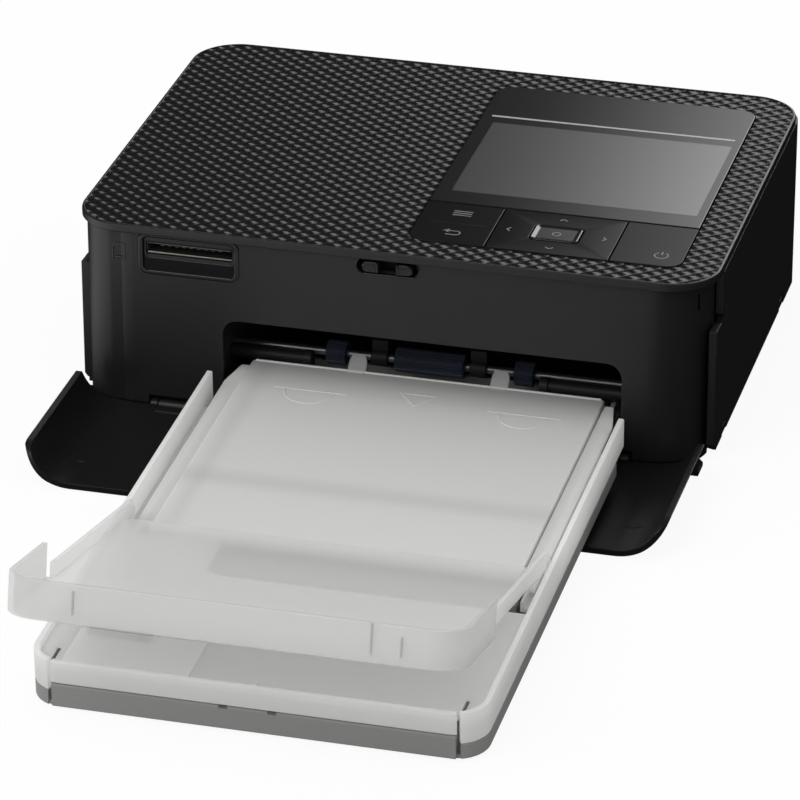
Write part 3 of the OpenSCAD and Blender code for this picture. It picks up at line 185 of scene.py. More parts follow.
# Camera: solved from the photo's straight edges, 231 mm lens, no shift.
def camera():
    az, el, roll = (math.radians(v) for v in (14.837, 26.721, -0.117))
    back = np.array([math.sin(az) * math.cos(el), -math.cos(az) * math.cos(el), math.sin(el)])
    right = np.array([math.cos(az), math.sin(az), 0])
    up = np.cross(back, right)
    r = math.cos(roll) * right + math.sin(roll) * up
    u = -math.sin(roll) * right + math.cos(roll) * up
    data = bpy.data.cameras.new("camera")
    data.sensor_width = 36
    data.lens = 231.342
    data.clip_start, data.clip_end = 0.05, 50
    ob = bpy.data.objects.new("camera", data)
    bpy.context.scene.collection.objects.link(ob)
    turn = Matrix([list(row) for row in np.column_stack([r, u, back])]).to_4x4()
    ob.matrix_world = Matrix.Translation(metres([330.384, -1298.610, 654.656]).tolist()) @ turn
    bpy.context.scene.camera = ob


camera()
bpy.context.scene.view_settings.view_transform = "Standard"


# Plain moulded plastics, metals and rubber. Grain is a fine bump; edge rounds the sharp
# edges of a moulding in the shading.
def material(name, colour, roughness, metallic=0.0, grain=0.0, edge=0.0, ior=1.46):
    """Principled material; grain is a bump strength and edge a radius in metres."""
    m = bpy.data.materials.new(name)
    m.use_nodes = True
    nt = m.node_tree
    sh = nt.nodes["Principled BSDF"]
    sh.inputs["Base Color"].default_value = (*colour, 1)
    sh.inputs["Roughness"].default_value = roughness
    sh.inputs["Metallic"].default_value = metallic
    sh.inputs["IOR"].default_value = ior
    normal = None
    if edge > 0:
        soft = node(nt, "Bevel", inputs=(("Radius", edge),))
        soft.samples = 4
        normal = soft.outputs["Normal"]
    if grain > 0:
        noise = node(nt, "TexNoise", inputs=(("Scale", 900.0), ("Detail", 2)))
        bump = node(nt, "Bump", inputs=(("Strength", grain), ("Distance", 0.0001)))
        nt.links.new(node(nt, "TexCoord").outputs["Object"], noise.inputs["Vector"])
        nt.links.new(noise.outputs["Fac"], bump.inputs["Height"])
        if normal:
            nt.links.new(normal, bump.inputs["Normal"])
        normal = bump.outputs["Normal"]
    if normal:
        nt.links.new(normal, sh.inputs["Normal"])
    return m


satin = material("satin_black", (0.010, 0.010, 0.010), 0.4, grain=0.25, edge=0.0004)
shell_black = material("shell_black", (0.007, 0.007, 0.0072), 0.38, grain=0.2, edge=0.0004)
inner_black = material("inner_black", (0.012, 0.012, 0.013), 0.5, edge=0.0003)
blue_rubber = material("blue_rubber", (0.012, 0.015, 0.035), 0.6)
steel = material("steel", (0.38, 0.38, 0.385), 0.38, metallic=1.0, grain=0.1)
green_board = material("green_board", (0.03, 0.12, 0.06), 0.45)
nylon = material("nylon", (0.7, 0.68, 0.6), 0.5)
aluminium = material("aluminium", (0.6, 0.61, 0.62), 0.4, metallic=1.0)
motor_grey = material("motor_grey", (0.18, 0.19, 0.2), 0.35, metallic=0.6)
tray_grey = material("tray_grey", (0.24, 0.24, 0.235), 0.5, grain=0.15, edge=0.0003)
glossy_black = material("glossy_black", (0.012, 0.012, 0.013), 0.12, edge=0.0003)


def paint(mat, *names):
    """Gives the CAD nodes of these names this material."""
    for name in names:
        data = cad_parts[name].data
        data.materials.clear()
        data.materials.append(mat)


paint(satin, "front_panel", "left_side_panel", "rear_panel", "ink_door", "top_cover")
paint(shell_black, "bottom_case", "front_door")
paint(inner_black, "ribbon_bay_frame", "control_bezel", "four_way_spider", "latch_housing",
      "power_inlet", "fan_frame", "fan_rotor", "chassis_crossbar", "paper_guide_tubes",
      "ink_cassette_case", "ink_ribbon")
paint(blue_rubber, "rubber_feet", "pickup_rollers", "pinch_roller", "platen_roller",
      "battery_terminal_cover")
paint(steel, "case_screws", "card_socket", "usb_socket", "left_chassis_plate",
      "right_chassis_plate", "pickup_shaft", "feed_roller", "head_arms", "motor_plate",
      "ink_door_pins", "door_hinge_pins", "lift_plate")
paint(green_board, "key_board", "main_board")
paint(nylon, "feed_gear", "idler_gear", "feed_pinion", "ribbon_pinion", "ribbon_drive_hub",
      "supply_spool", "takeup_spool")
paint(aluminium, "print_head")
paint(motor_grey, "feed_motor", "ribbon_motor")
paint(tray_grey, "cassette_base")
paint(glossy_black, "display_window", "menu_back_key", "four_way_key", "ok_key", "power_key",
      "left_latch_knob", "right_latch_knob", "lcd_module")


# Frosted plastic of the cassette and the print tray: milky, lets light and dark shapes through.
def frosted(name, colour, clear, roughness, painted_shades=(), glowing=0.3):
    """Mix of a diffuse-glossy surface, a translucent one and a share of plain see-through.
    Each painted shade (axis, centre, half width, low) is a softly darker zone in metres along an
    axis, a painted shadow of what lies beneath; low is its share of the colour at the centre."""
    m = bpy.data.materials.new(name)
    m.use_nodes = True
    nt = m.node_tree
    sh = nt.nodes["Principled BSDF"]
    out = nt.nodes["Material Output"]
    sh.inputs["Base Color"].default_value = (*colour, 1)
    sh.inputs["Roughness"].default_value = roughness
    sh.inputs["IOR"].default_value = 1.45
    edge = node(nt, "Bevel", inputs=(("Radius", 0.0003),))
    edge.samples = 4
    nt.links.new(edge.outputs["Normal"], sh.inputs["Normal"])
    glow = node(nt, "BsdfTranslucent", inputs=(("Color", (*colour, 1)),))
    shaded_tone = None
    for axis, centre, half, low in painted_shades:
        split = node(nt, "SeparateXYZ")
        nt.links.new(node(nt, "TexCoord").outputs["Object"], split.inputs["Vector"])
        off = combine(nt, "SUBTRACT", split.outputs[axis], centre)
        far = node(nt, "Math", "ABSOLUTE")
        nt.links.new(off, far.inputs[0])
        dim = node(nt, "VectorMath", "SCALE")
        if shaded_tone:
            nt.links.new(shaded_tone, dim.inputs[0])
        else:
            dim.inputs[0].default_value = colour
        scale = grade(nt, far.outputs[0], (0.0, half, low, 1.0), smooth=True)
        nt.links.new(scale, dim.inputs["Scale"])
        shaded_tone = dim.outputs["Vector"]
    if shaded_tone:
        nt.links.new(shaded_tone, sh.inputs["Base Color"])
        nt.links.new(shaded_tone, glow.inputs["Color"])
    through = node(nt, "BsdfTransparent")
    body = mixed(nt, glowing, sh.outputs["BSDF"], glow.outputs["BSDF"])
    nt.links.new(mixed(nt, clear, body, through.outputs["BSDF"]), out.inputs["Surface"])
    return m


frost = frosted("frosted_plastic", (0.72, 0.72, 0.71), 0.2, 0.35)
paint(frost, "cassette_frame", "inner_lid", "output_tray")


# Top cover: one glossy moulding with a plain rim and small soft diamonds all over its top,
# screwed to the lower shell. The window for the screen and the keys is cut through it.
def steady(ob):
    """Lets large faces set the shading normals, so flats stay flat beside rounded edges."""
    if len(ob.data.polygons) < 20000:
        weigh = ob.modifiers.new("weighted_normals", "WEIGHTED_NORMAL")
        weigh.keep_sharp = True
        weigh.weight = 90


def mesh_object(name, verts, faces, mat, body, smooth=30.0):
    """Mesh from frame metres, normals made outward, smooth below the given angle in degrees."""
    mesh = bpy.data.meshes.new(name)
    mesh.from_pydata(np.asarray(verts).tolist(), [], faces)
    work = bmesh.new()
    work.from_mesh(mesh)
    bmesh.ops.recalc_face_normals(work, faces=work.faces)
    work.to_mesh(mesh)
    work.free()
    mesh.polygons.foreach_set("use_smooth", np.ones(len(mesh.polygons), bool))
    ob = bpy.data.objects.new(name, mesh)
    bpy.context.scene.collection.objects.link(ob)
    mesh.set_sharp_from_angle(angle=math.radians(smooth))
    mesh.materials.append(mat)
    steady(ob)
    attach(ob, body)
    return ob


def rounded(w, d, radii, centre=(0, 0), steps=10):
    """Rounded rectangle as points, anticlockwise from the front right; radii may be one number
    or four: front right, back right, back left, front left."""
    r = np.broadcast_to(np.asarray(radii, float), (4,))
    corner = np.array([[1, -1], [1, 1], [-1, 1], [-1, -1]])
    t = np.linspace(-90, 0, steps)[None, :] + 90 * np.arange(4)[:, None]
    t = np.radians(t)
    mid = corner * (np.array([w / 2, d / 2]) - r[:, None])
    p = mid[:, None, :] + r[:, None, None] * np.stack([np.cos(t), np.sin(t)], -1)
    return p.reshape(-1, 2) + centre


def loft(loops, wrap=False):
    """Faces and vertices of a skin through loops of equal length, (L, N, 3); ends are capped
    unless the loops wrap round to the first."""
    loops = np.asarray(loops, float)
    rows, n = loops.shape[:2]
    last = rows if wrap else rows - 1
    i, j = np.meshgrid(np.arange(last), np.arange(n), indexing="ij")
    a = i * n + j
    b = i * n + (j + 1) % n
    c = ((i + 1) % rows) * n + (j + 1) % n
    d = ((i + 1) % rows) * n + j
    faces = np.stack([a, b, c, d], -1).reshape(-1, 4).tolist()
    if not wrap:
        faces += [list(range(n - 1, -1, -1)), list(range((rows - 1) * n, rows * n))]
    return loops.reshape(-1, 3), faces


def ring(shape, profile):
    """Loops of the outline shape(inset) at each (inset, z) of profile."""
    return [np.column_stack([shape(g), np.full(len(shape(g)), z)]) for g, z in profile]


cover_paint = material("cover_black", (0.009, 0.009, 0.009), 0.22, ior=1.2)
rim_shape = lambda g: rounded(182.2 - 2 * g, 133 - 2 * g, 14 - g, steps=16)
verts, faces = loft(ring(rim_shape, [
    (0.25, 54.9), (0, 55.15), (0, 56.9), (0.12, 57.2), (0.4, 57.35), (0.8, 57.35), (0.8, 56.2),
    (4.5, 56.2), (4.5, 54.9)]), wrap=True)
rim = mesh_object("cover_rim", metres(verts), faces, satin, "printer")


def diamonds():
    """Height field z = base + height * (1 - |2u|^power)(1 - |2v|^power) on a staggered lattice
    of px by py with cut grid steps each, clipped by the rim and by the window, with a flat
    underside. Grid points up to margin outside are drawn onto the edge."""
    px, py, cut = 5.23, 4.27, 6
    base, under, height, power = 57.0, 56.3, 0.55, 1.35
    margin, step = 1.6, 1e-3
    nx, ny = int(91 / px * cut) + 1, int(66 / py * cut) + 1
    gx, gy = np.meshgrid(np.arange(-nx, nx + 1) * px / cut,
                         np.arange(-ny, ny + 1) * py / cut, indexing="ij")

    def outside(x, y):
        """Signed distance: positive outside the rim's inner edge or inside the window."""
        def box(x, y, hx, hy, r):
            qx, qy = np.abs(x) - (hx - r), np.abs(y) - (hy - r)
            beyond = np.hypot(np.maximum(qx, 0), np.maximum(qy, 0))
            return beyond + np.minimum(np.maximum(qx, qy), 0) - r
        window = box(x - 41.3, y + 0.5, 38.85, 55.25, 5.45)
        return np.maximum(box(x, y, 90.3, 65.7, 13.2), -window)

    d = outside(gx, gy)
    for _ in range(3):
        gxx = (outside(gx + step, gy) - outside(gx - step, gy)) / (2 * step)
        gyy = (outside(gx, gy + step) - outside(gx, gy - step)) / (2 * step)
        move = np.where((d > 0) & (d < margin), outside(gx, gy), 0)
        gx, gy = gx - move * gxx, gy - move * gyy
    keep = d < margin
    u = gx / px + gy / py
    v = gx / px - gy / py
    u, v = u - np.round(u), v - np.round(v)
    z = base + height * (1 - np.abs(2 * u) ** power) * (1 - np.abs(2 * v) ** power)
    ids = np.arange(gx.size).reshape(gx.shape)
    quad = np.stack([ids[:-1, :-1], ids[1:, :-1], ids[1:, 1:], ids[:-1, 1:]], -1).reshape(-1, 4)
    inner = (d <= 0).ravel()[quad].any(1) & keep.ravel()[quad].all(1)
    quad = quad[inner]
    top = np.stack([gx, gy, z], -1).reshape(-1, 3)
    low = top * (1, 1, 0) + (0, 0, under)
    n = len(top)
    edges = np.concatenate([quad[:, [0, 1]], quad[:, [1, 2]], quad[:, [2, 3]], quad[:, [3, 0]]])
    key = np.sort(edges, 1) @ np.array([n, 1])
    _, index, count = np.unique(key, return_index=True, return_counts=True)
    rim_edges = edges[index[count == 1]]
    a, b = rim_edges.T
    wall = np.column_stack([b, a, a + n, b + n])
    faces = np.concatenate([quad, quad[:, ::-1] + n, wall])
    used, faces = np.unique(faces, return_inverse=True)
    return np.concatenate([top, low])[used], faces.reshape(-1, 4).tolist()


verts, faces = diamonds()
texture = mesh_object("cover_diamonds", metres(verts), faces, cover_paint, "printer", smooth=60)
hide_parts("top_cover")


# Screen front: a tinted clear plate, polished, set flush in the cover's window. The screen behind
# it shows as a lighter field. A thin light grey strip along the plate's lit edge is a painted
# highlight.
def plate(name, shape, z0, z1, fillet, mat, body):
    """Closed plate over the outline shape(inset) with a rounded upper edge."""
    t = np.radians(np.linspace(0, 90, 4))
    turn = [(fillet * (1 - math.cos(a)), z1 - fillet * (1 - math.sin(a))) for a in t]
    verts, faces = loft(ring(shape, [(0, z0)] + turn))
    return mesh_object(name, metres(verts), faces, mat, body)


screen_plate = material("screen_plate", (0.011, 0.011, 0.0115), 0.1, ior=1.36)
screen_field = material("screen_field", (0.035, 0.035, 0.034), 0.14, ior=1.74)
painted_edge_highlight = material("painted_edge_highlight", (0.35, 0.35, 0.34), 0.3)
key_black = material("key_black", (0.009, 0.009, 0.0095), 0.1, ior=1.16)
print_grey = material("print_grey", (0.16, 0.16, 0.155), 0.5)

# The panel runs from y -55.5 to 54.5 and between these x; the screen part ends at y -29.2.
PANEL_X = (2.7, 79.9)
FIELD_Z = (57.5, 57.57)
screen_shape = lambda g: rounded(77.2 - 2 * g, 83.7 - 2 * g, [0.3, 5.2 - g, 5.2 - g, 0.3],
                                 (41.3, 12.65))
screen = plate("screen_plate", screen_shape, 55.9, 57.55, 0.3, screen_plate, "printer")
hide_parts("display_window")
field_shape = lambda g: rounded(70.3 - 2 * g, 49.0 - 2 * g, 0.3, (42.35, 3.1), steps=3)
field = plate("screen_field", field_shape, *FIELD_Z, 0.02, screen_field, "printer")
# Thin light grey strip: painted highlight of the plate's lit edge
edge_shape = lambda g: rounded(71.8 - 2 * g, 1.0 - 2 * g, 0.2, (41.6, 32.2), steps=3)
edge_line = plate("screen_edge_painted_highlight", edge_shape, *FIELD_Z, 0.02, painted_edge_highlight, "printer")

# Keys: three caps in one row, moulded in glossy plastic with printed signs, and a raised
# centre key in a polished frame that catches the light at its corners.
KEY_Y = -42.5
CAP_Z = (56.15, 57.45)
SIGN_Z = 57.44
menu_shape = lambda g: rounded(22.05 - 2 * g, 25.7 - 2 * g, [0.3, 0.3, 0.3, 4.6 - g],
                               (PANEL_X[0] + 11.075, KEY_Y))
menu = plate("menu_key_cap", menu_shape, *CAP_Z, 0.25, key_black, "menu_back_rocker")
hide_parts("menu_back_key")
power_shape = lambda g: rounded(19.85 - 2 * g, 26 - 2 * g, [4.6 - g, 0.3, 0.3, 0.3],
                                (PANEL_X[1] - 9.925, KEY_Y))
power = plate("power_key_cap", power_shape, *CAP_Z, 0.25, key_black, "power_button")
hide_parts("power_key")


def frame_plate(name, outer, inner, z0, z1, fillet, mat, body):
    """Closed ring between two outlines of equal length, its upper edges rounded."""
    f = fillet
    loops = ring(outer, [(0, z0), (0, z1 - f), (0.3 * f, z1 - 0.3 * f), (f, z1)])
    loops += ring(inner, [(-f, z1), (-0.3 * f, z1 - 0.3 * f), (0, z1 - f), (0, z0)])
    verts, faces = loft(loops, wrap=True)
    return mesh_object(name, metres(verts), faces, mat, body)


OK_X = (25.0 + 59.9) / 2
four_outer = lambda g: rounded(34.6 - 2 * g, 26 - 2 * g, 0.3, (OK_X, KEY_Y))
four_hole = lambda g: rounded(14.2 - 2 * g, 10.4 - 2 * g, 1.9 - g, (OK_X, KEY_Y))
four = frame_plate("direction_key_cap", four_outer, four_hole, *CAP_Z, 0.2, key_black,
                   "direction_key")
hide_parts("four_way_key")
ok_frame = lambda g: rounded(13.6 - 2 * g, 9.8 - 2 * g, max(1.6 - g, 0.3), (OK_X, KEY_Y))
verts, faces = loft(ring(ok_frame, [
    (0, 56.15), (0, 57.3), (0.12, 57.6), (0.35, 57.72), (0.7, 57.7), (1.25, 57.42), (1.5, 57.4)]))
ok_cap = mesh_object("centre_key_cap", metres(verts), faces, glossy_black, "centre_key")
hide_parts("ok_key")


def stroke(name, points, width, z, mat, body, closed=False, height=0.03):
    """Flat printed line of constant width along points, as a thin closed solid."""
    p = np.asarray(points, float)
    step = np.roll(p, -1, 0) - p
    if not closed:
        step[-1] = step[-2]
    back = np.roll(step, 1, 0)
    if not closed:
        back[0] = step[0]
    unit = lambda v: v / np.linalg.norm(v, axis=1, keepdims=True)
    a, b = unit(step), unit(back)
    n = unit(np.column_stack([-(a + b)[:, 1], (a + b)[:, 0]]))
    reach = width / 2 / np.maximum((n * np.column_stack([-a[:, 1], a[:, 0]])).sum(1), 0.4)
    left, right = p + n * reach[:, None], p - n * reach[:, None]
    up = lambda q, h: np.column_stack([q, np.full(len(q), h)])
    rows = np.stack([up(left, z), up(left, z + height), up(right, z + height), up(right, z)], 1)
    verts, faces = loft(rows, wrap=closed)
    return mesh_object(name, metres(verts), faces, mat, body)


def sign(name, points, width, body, mat=print_grey, z=SIGN_Z, closed=False):
    """Printed line on a key cap."""
    stroke(name, points, width, z, mat, body, closed)


def round_line(x, y, r, degrees):
    """Points round (x, y) at these angles."""
    return [(x + r * math.cos(a), y + r * math.sin(a)) for a in np.radians(degrees)]


for k, y in enumerate((-34.5, -35.8, -37.1)):
    sign(f"menu_sign_{k}", [(11.4, y), (16.8, y)], 0.45, "menu_back_rocker")
turn = round_line(15.3, -48.8, 1.2, np.linspace(90, -90, 9))
sign("back_sign", [(11.9, -47.6)] + turn + [(12.6, -50.0)], 0.4, "menu_back_rocker")
sign("back_sign_head", [(13.2, -46.7), (11.8, -47.6), (13.2, -48.5)], 0.4, "menu_back_rocker")
sign("key_groove", [(6.4, KEY_Y), (21.8, KEY_Y)], 0.35, "menu_back_rocker", glossy_black, 57.43)
for name, x, y, dx, dy in (("left", 28.9, KEY_Y, -1, 0), ("right", 55.9, KEY_Y, 1, 0),
                           ("up", OK_X, -33.2, 0, 1), ("down", OK_X, -51.8, 0, -1)):
    tip = np.array([x + 0.5 * dx, y + 0.5 * dy])
    back = tip - 0.9 * np.array([dx, dy])
    side = 1.1 * np.array([-dy, dx])
    sign(f"arrow_{name}", [back + side, tip, back - side], 0.4, "direction_key")
turn = round_line(73.4, -48.9, 1.9, np.linspace(125, 415, 22))
sign("power_sign_ring", turn, 0.4, "power_button")
sign("power_sign_bar", [(73.4, -48.6), (73.4, -46.6)], 0.4, "power_button")
turn = round_line(OK_X, KEY_Y, 1.1, np.arange(0, 360, 18))
sign("centre_sign", turn, 0.4, "centre_key", z=57.4, closed=True)


# Print tray: the cassette's outer lid, folded open to catch the prints. One frosted moulding on
# two pivot pins: a floor, low side walls near the pivot and a high wall round the front end.
def moulding(name, outlines, z0, z1, fillet, move, mat, body, steps=2):
    """Plate between two heights over outlines (the first outside, the others holes), with all
    its edges rounded; move turns its local millimetres into printer millimetres."""
    curve = bpy.data.curves.new(name, "CURVE")
    curve.dimensions = "2D"
    curve.fill_mode = "BOTH"
    curve.extrude = max((z1 - z0) / 2 - fillet, 0)
    curve.bevel_depth = fillet
    curve.bevel_resolution = steps
    curve.offset = -fillet
    for outline in outlines:
        o = np.asarray(outline, float)
        line = curve.splines.new("POLY")
        line.points.add(len(o) - 1)
        flat = np.column_stack([o, np.zeros(len(o)), np.ones(len(o))])
        line.points.foreach_set("co", flat.ravel())
        line.use_cyclic_u = True
    shape = bpy.data.objects.new(name + "_outline", curve)
    mesh = bpy.data.meshes.new_from_object(shape)
    co = np.empty(len(mesh.vertices) * 3)
    mesh.vertices.foreach_get("co", co)
    co = co.reshape(-1, 3) + (0, 0, (z0 + z1) / 2)
    mesh.vertices.foreach_set("co", metres(move(co)).ravel())
    bpy.data.objects.remove(shape)
    bpy.data.curves.remove(curve)
    work = bmesh.new()
    work.from_mesh(mesh)
    bmesh.ops.remove_doubles(work, verts=work.verts, dist=2e-6)
    bmesh.ops.recalc_face_normals(work, faces=work.faces)
    work.to_mesh(mesh)
    work.free()
    mesh.name = name
    mesh.polygons.foreach_set("use_smooth", np.ones(len(mesh.polygons), bool))
    mesh.set_sharp_from_angle(angle=math.radians(35))
    mesh.materials.clear()
    mesh.materials.append(mat)
    ob = bpy.data.objects.new(name, mesh)
    bpy.context.scene.collection.objects.link(ob)
    steady(ob)
    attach(ob, body)
    return ob


def maker(move, mat, body):
    """List of one piece's parts, and a short form of moulding that adds to it."""
    parts = []

    def add(name, outlines, z0, z1, fillet, mat=mat, steps=2):
        parts.append(moulding(name, outlines, z0, z1, fillet, move, mat, body, steps))
    return parts, add


def hand_in(replaced=None):
    """Hides the CAD node that the new parts replace, if one is given."""
    if replaced:
        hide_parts(replaced)


def tilted(origin, degrees, flip=1):
    """Placing of local points (x, y, z): y runs flip * y, then all turns about X by degrees
    and moves to origin."""
    c, s = math.cos(math.radians(degrees)), math.sin(math.radians(degrees))

    def move(p):
        x, y, z = np.asarray(p, float).T
        y = flip * y
        return np.column_stack([x, y * c - z * s, y * s + z * c]) + origin
    return move


def arc(centre, r, a0, a1, n=9):
    """n points round centre from a0 to a1 degrees."""
    t = np.radians(np.linspace(a0, a1, n))
    return np.column_stack([centre[0] + r * np.cos(t), centre[1] + r * np.sin(t)])


def band(path, width):
    """Closed outline of a wall along an open path of points, width to its left."""
    p = np.asarray(path, float)
    d = np.diff(p, axis=0)
    d /= np.linalg.norm(d, axis=1, keepdims=True)
    n = np.column_stack([-d[:, 1], d[:, 0]])
    m = np.vstack([n[:1], n[:-1] + n[1:], n[-1:]])
    m /= np.linalg.norm(m, axis=1, keepdims=True)
    m /= np.vstack([np.ones((1, 1)), (m[1:-1] * n[1:]).sum(1, keepdims=True), np.ones((1, 1))])
    return np.vstack([p, (p + width * m)[::-1]])


def rect(x0, x1, y0, y1):
    return [(x0, y0), (x1, y0), (x1, y1), (x0, y1)]


def rod(name, ends, y, z, r, fillet, move, mat, body, n=20):
    """Round pin along X between two ends, with rounded ends."""
    x0, x1 = sorted(ends)
    t = np.linspace(0, 2 * np.pi, n, endpoint=False)
    loops = []
    for x, g in ((x0, fillet), (x0 + 0.3 * fillet, 0.3 * fillet), (x0 + fillet, 0),
                 (x1 - fillet, 0), (x1 - 0.3 * fillet, 0.3 * fillet), (x1, fillet)):
        loops.append(np.column_stack([np.full(n, x), y + (r - g) * np.cos(t),
                                      z + (r - g) * np.sin(t)]))
    verts, faces = loft(loops)
    return mesh_object(name, metres(move(verts)), faces, mat, body)


SIDES = ((-1, "left"), (1, "right"))
in_tray = tilted((9.3, -152.268, 14.457), -13.2, flip=-1)
frost_tray = frosted("frosted_print_tray", (0.92, 0.92, 0.91), 0.5, 0.3)
# The end wall's copy of the tray's plastic is darker: painted shade on its upright faces, which
# get less light than the floor.
frost_end_shaded = frosted("frosted_end_wall_painted_shade", (0.74, 0.74, 0.73), 0.55, 0.3)
# Grey for grooves in the tray's end wall and a recess in the deck: painted shade in these hollows
hollow_shade = material("groove_and_recess_painted_shade", (0.42, 0.42, 0.41), 0.5)


def print_tray():
    # Half widths of the wide front part and of the part near the pivot, front end, wall,
    # corner radius, and where the two parts meet
    full, low, front, t, r, mid = 59.2, 57.3, 101.6, 1.4, 9.0, 67.6
    left_corner, right_corner = (-full + r, front - r), (full - r, front - r)
    parts, add = maker(in_tray, frost_tray, "print_tray")
    floor_line = np.vstack([
        [(-low + t, 5.4), (low - t, 5.4), (low - t, mid), (full - t, mid)],
        arc(right_corner, r - t, 0, 90), arc(left_corner, r - t, 90, 180),
        [(-full + t, mid), (-low + t, mid)]])
    add("print_tray_floor", [floor_line], -1.0, 0.4, 0.25)
    high = np.vstack([[(full, mid + 0.2)], arc(right_corner, r, 0, 90),
                      arc(left_corner, r, 90, 180), [(-full, mid + 0.2)]])
    # The end wall carries the darker copy of the plastic: painted shade
    add("print_tray_end_wall", [band(high, t)], -1.0, 9.4, 0.45, mat=frost_end_shaded)
    for s, side in SIDES:
        wall = (s * (low - t), s * low)
        add(f"print_tray_low_wall_{side}", [rect(*wall, 0.2, mid - 1.1)], -0.4, 4.2, 0.45)
        pin = (s * (low - 0.4), s * (low + 2))
        for name, ends, radius, fillet in (("ear", wall, 2.4, 0.3), ("pin", pin, 1.2, 0.2)):
            parts.append(rod(f"print_tray_{name}_{side}", ends, 0, 0, radius, fillet,
                             in_tray, frost_tray, "print_tray"))
        corner, span = (right_corner, (12, 78)) if s > 0 else (left_corner, (102, 168))
        lip = np.vstack([arc(corner, r - t + 0.05, *span, 7),
                         arc(corner, r - t - 1.3, *span, 7)[::-1]])
        add(f"print_tray_corner_lip_{side}", [lip], 7.4, 9.1, 0.3)
    # Grooves in the end wall as thin grey strips: painted shade
    for k, (x, z0, z1) in enumerate(((-40.0, 1.6, 7.6), (36.0, 1.4, 9.35), (43.6, 1.6, 6.6))):
        groove = rect(x - 0.28, x + 0.28, front - 0.5, front + 0.03)
        add(f"print_tray_groove_{k}", [groove], z0, z1, 0.02, mat=hollow_shade)
    hand_in("output_tray")


print_tray()


# Cassette, upper part: translucent outer walls open to the rear, a deck over the front third,
# narrow shelves along the sides. It clips on the grey lower part.
in_cassette = tilted((9.3, -71.4, 4.9), 1.45)
frost_frame = frosted("frosted_cassette", (0.92, 0.92, 0.91), 0.28, 0.35)
# A brighter, less see-through copy of the cassette's plastic for the walls, shelves, side covers,
# deck and the lid's rear edge: painted light on faces that lie in shade.
frost_lit = frosted("frosted_cassette_painted_light", (0.97, 0.97, 0.96), 0.08, 0.35, glowing=0.5)
# Dark grey for the slots at the deck's front corners and the two nicks in the front bar: painted
# shade
painted_slot_shade = material("slot_shade", (0.10, 0.10, 0.098), 0.6)

# Outline that both cassette parts share: half width, wall, corner radius and front end
HALF, WALL, CORNER, END = 59.5, 1.6, 9.0, -160.6
LEFT_CORNER = (-HALF + CORNER, END + CORNER)
RIGHT_CORNER = (HALF - CORNER, END + CORNER)


def outer_wall(s, rear):
    """Outline of the side wall from its rear end at y rear into the front corner."""
    cut = math.degrees(math.acos(3.3 / CORNER))
    if s < 0:
        bend = arc(LEFT_CORNER, CORNER, 180, 180 + cut)
    else:
        bend = arc(RIGHT_CORNER, CORNER, 0, -cut)
    return band(np.vstack([[(s * HALF, rear)], bend]), -s * WALL)


def mirrored(s, points):
    """Points of the right side, or their mirror images for s = -1."""
    return [(s * x, y) for x, y in points]


def cassette_frame():
    parts, add = maker(in_cassette, frost_frame, "paper_cassette")
    for s, side in SIDES:
        add(f"cassette_wall_{side}", [outer_wall(s, -0.2)], 4.4, 13.3, 0.4, mat=frost_lit)
        shelf = rect(s * 53.3, s * 58.0, -95.5, -9.2)
        add(f"cassette_shelf_{side}", [shelf], 5.5, 6.7, 0.2, mat=frost_lit)
        cover = mirrored(s, [(50.85, -82.0), (50.85, 13.6), (53.6, 13.6), (55.6, 3.0),
                             (55.6, -89.0), (52.6, -89.0), (52.6, -82.0)])
        add(f"cassette_cover_{side}", [cover], 7.7, 8.9, 0.3, mat=frost_lit)
        add(f"cassette_rail_{side}", [rect(s * 53.3, s * 54.3, -95.5, -1.0)], 5.5, 8.6, 0.25)
    a = math.degrees(math.acos(2.4 / CORNER))
    middle = np.vstack([arc(LEFT_CORNER, CORNER, 180 + a, 270, 4),
                        arc(RIGHT_CORNER, CORNER, 270, 360 - a, 4)])
    add("cassette_front_wall", [band(middle, WALL)], 7.0, 13.3, 0.4)
    deck = np.vstack([
        [(-57.95, -89.5)], arc((-50.5, -151.6), 7.45, 180, 243, 6),
        [(-53.9, -150.6), (-52.9, -150.6), (-52.9, -159.05)],
        [(52.9, -159.05), (52.9, -150.6), (53.9, -150.6)],
        arc((50.5, -151.6), 7.45, 297, 360, 6), [(57.95, -106.0), (-24.0, -106.0)],
        arc((-24.0, -101.0), 5.0, 270, 180, 7), [(-29.0, -89.5)]])
    add("cassette_deck", [deck], 10.4, 11.6, 0.25, mat=frost_lit)
    relief = rounded(33.5, 17.0, 0.6, (-34.2, -148.6), steps=3)
    add("cassette_deck_panel", [relief], 11.5, 11.8, 0.1, mat=frost_lit)
    # Recess in the deck as a grey patch: painted shade
    recess = rounded(17.0, 6.6, 1.6, (-40.5, -140.2), steps=4)
    add("cassette_deck_patch", [recess], 11.5, 11.7, 0.08, mat=hollow_shade)
    for s, side in SIDES:
        hook = mirrored(s, [(53.1, -150.4), (55.0, -150.4), (55.0, -151.2), (53.9, -151.2),
                            (53.9, -158.2), (53.1, -158.2)])
        add(f"cassette_slot_shade_{side}", [hook], 8.6, 11.2, 0.05, mat=painted_slot_shade)
    add("cassette_front_rib", [rect(-0.1, 1.1, -159.05, -157.9)], 6.9, 13.1, 0.2)
    hand_in("cassette_frame")


cassette_frame()


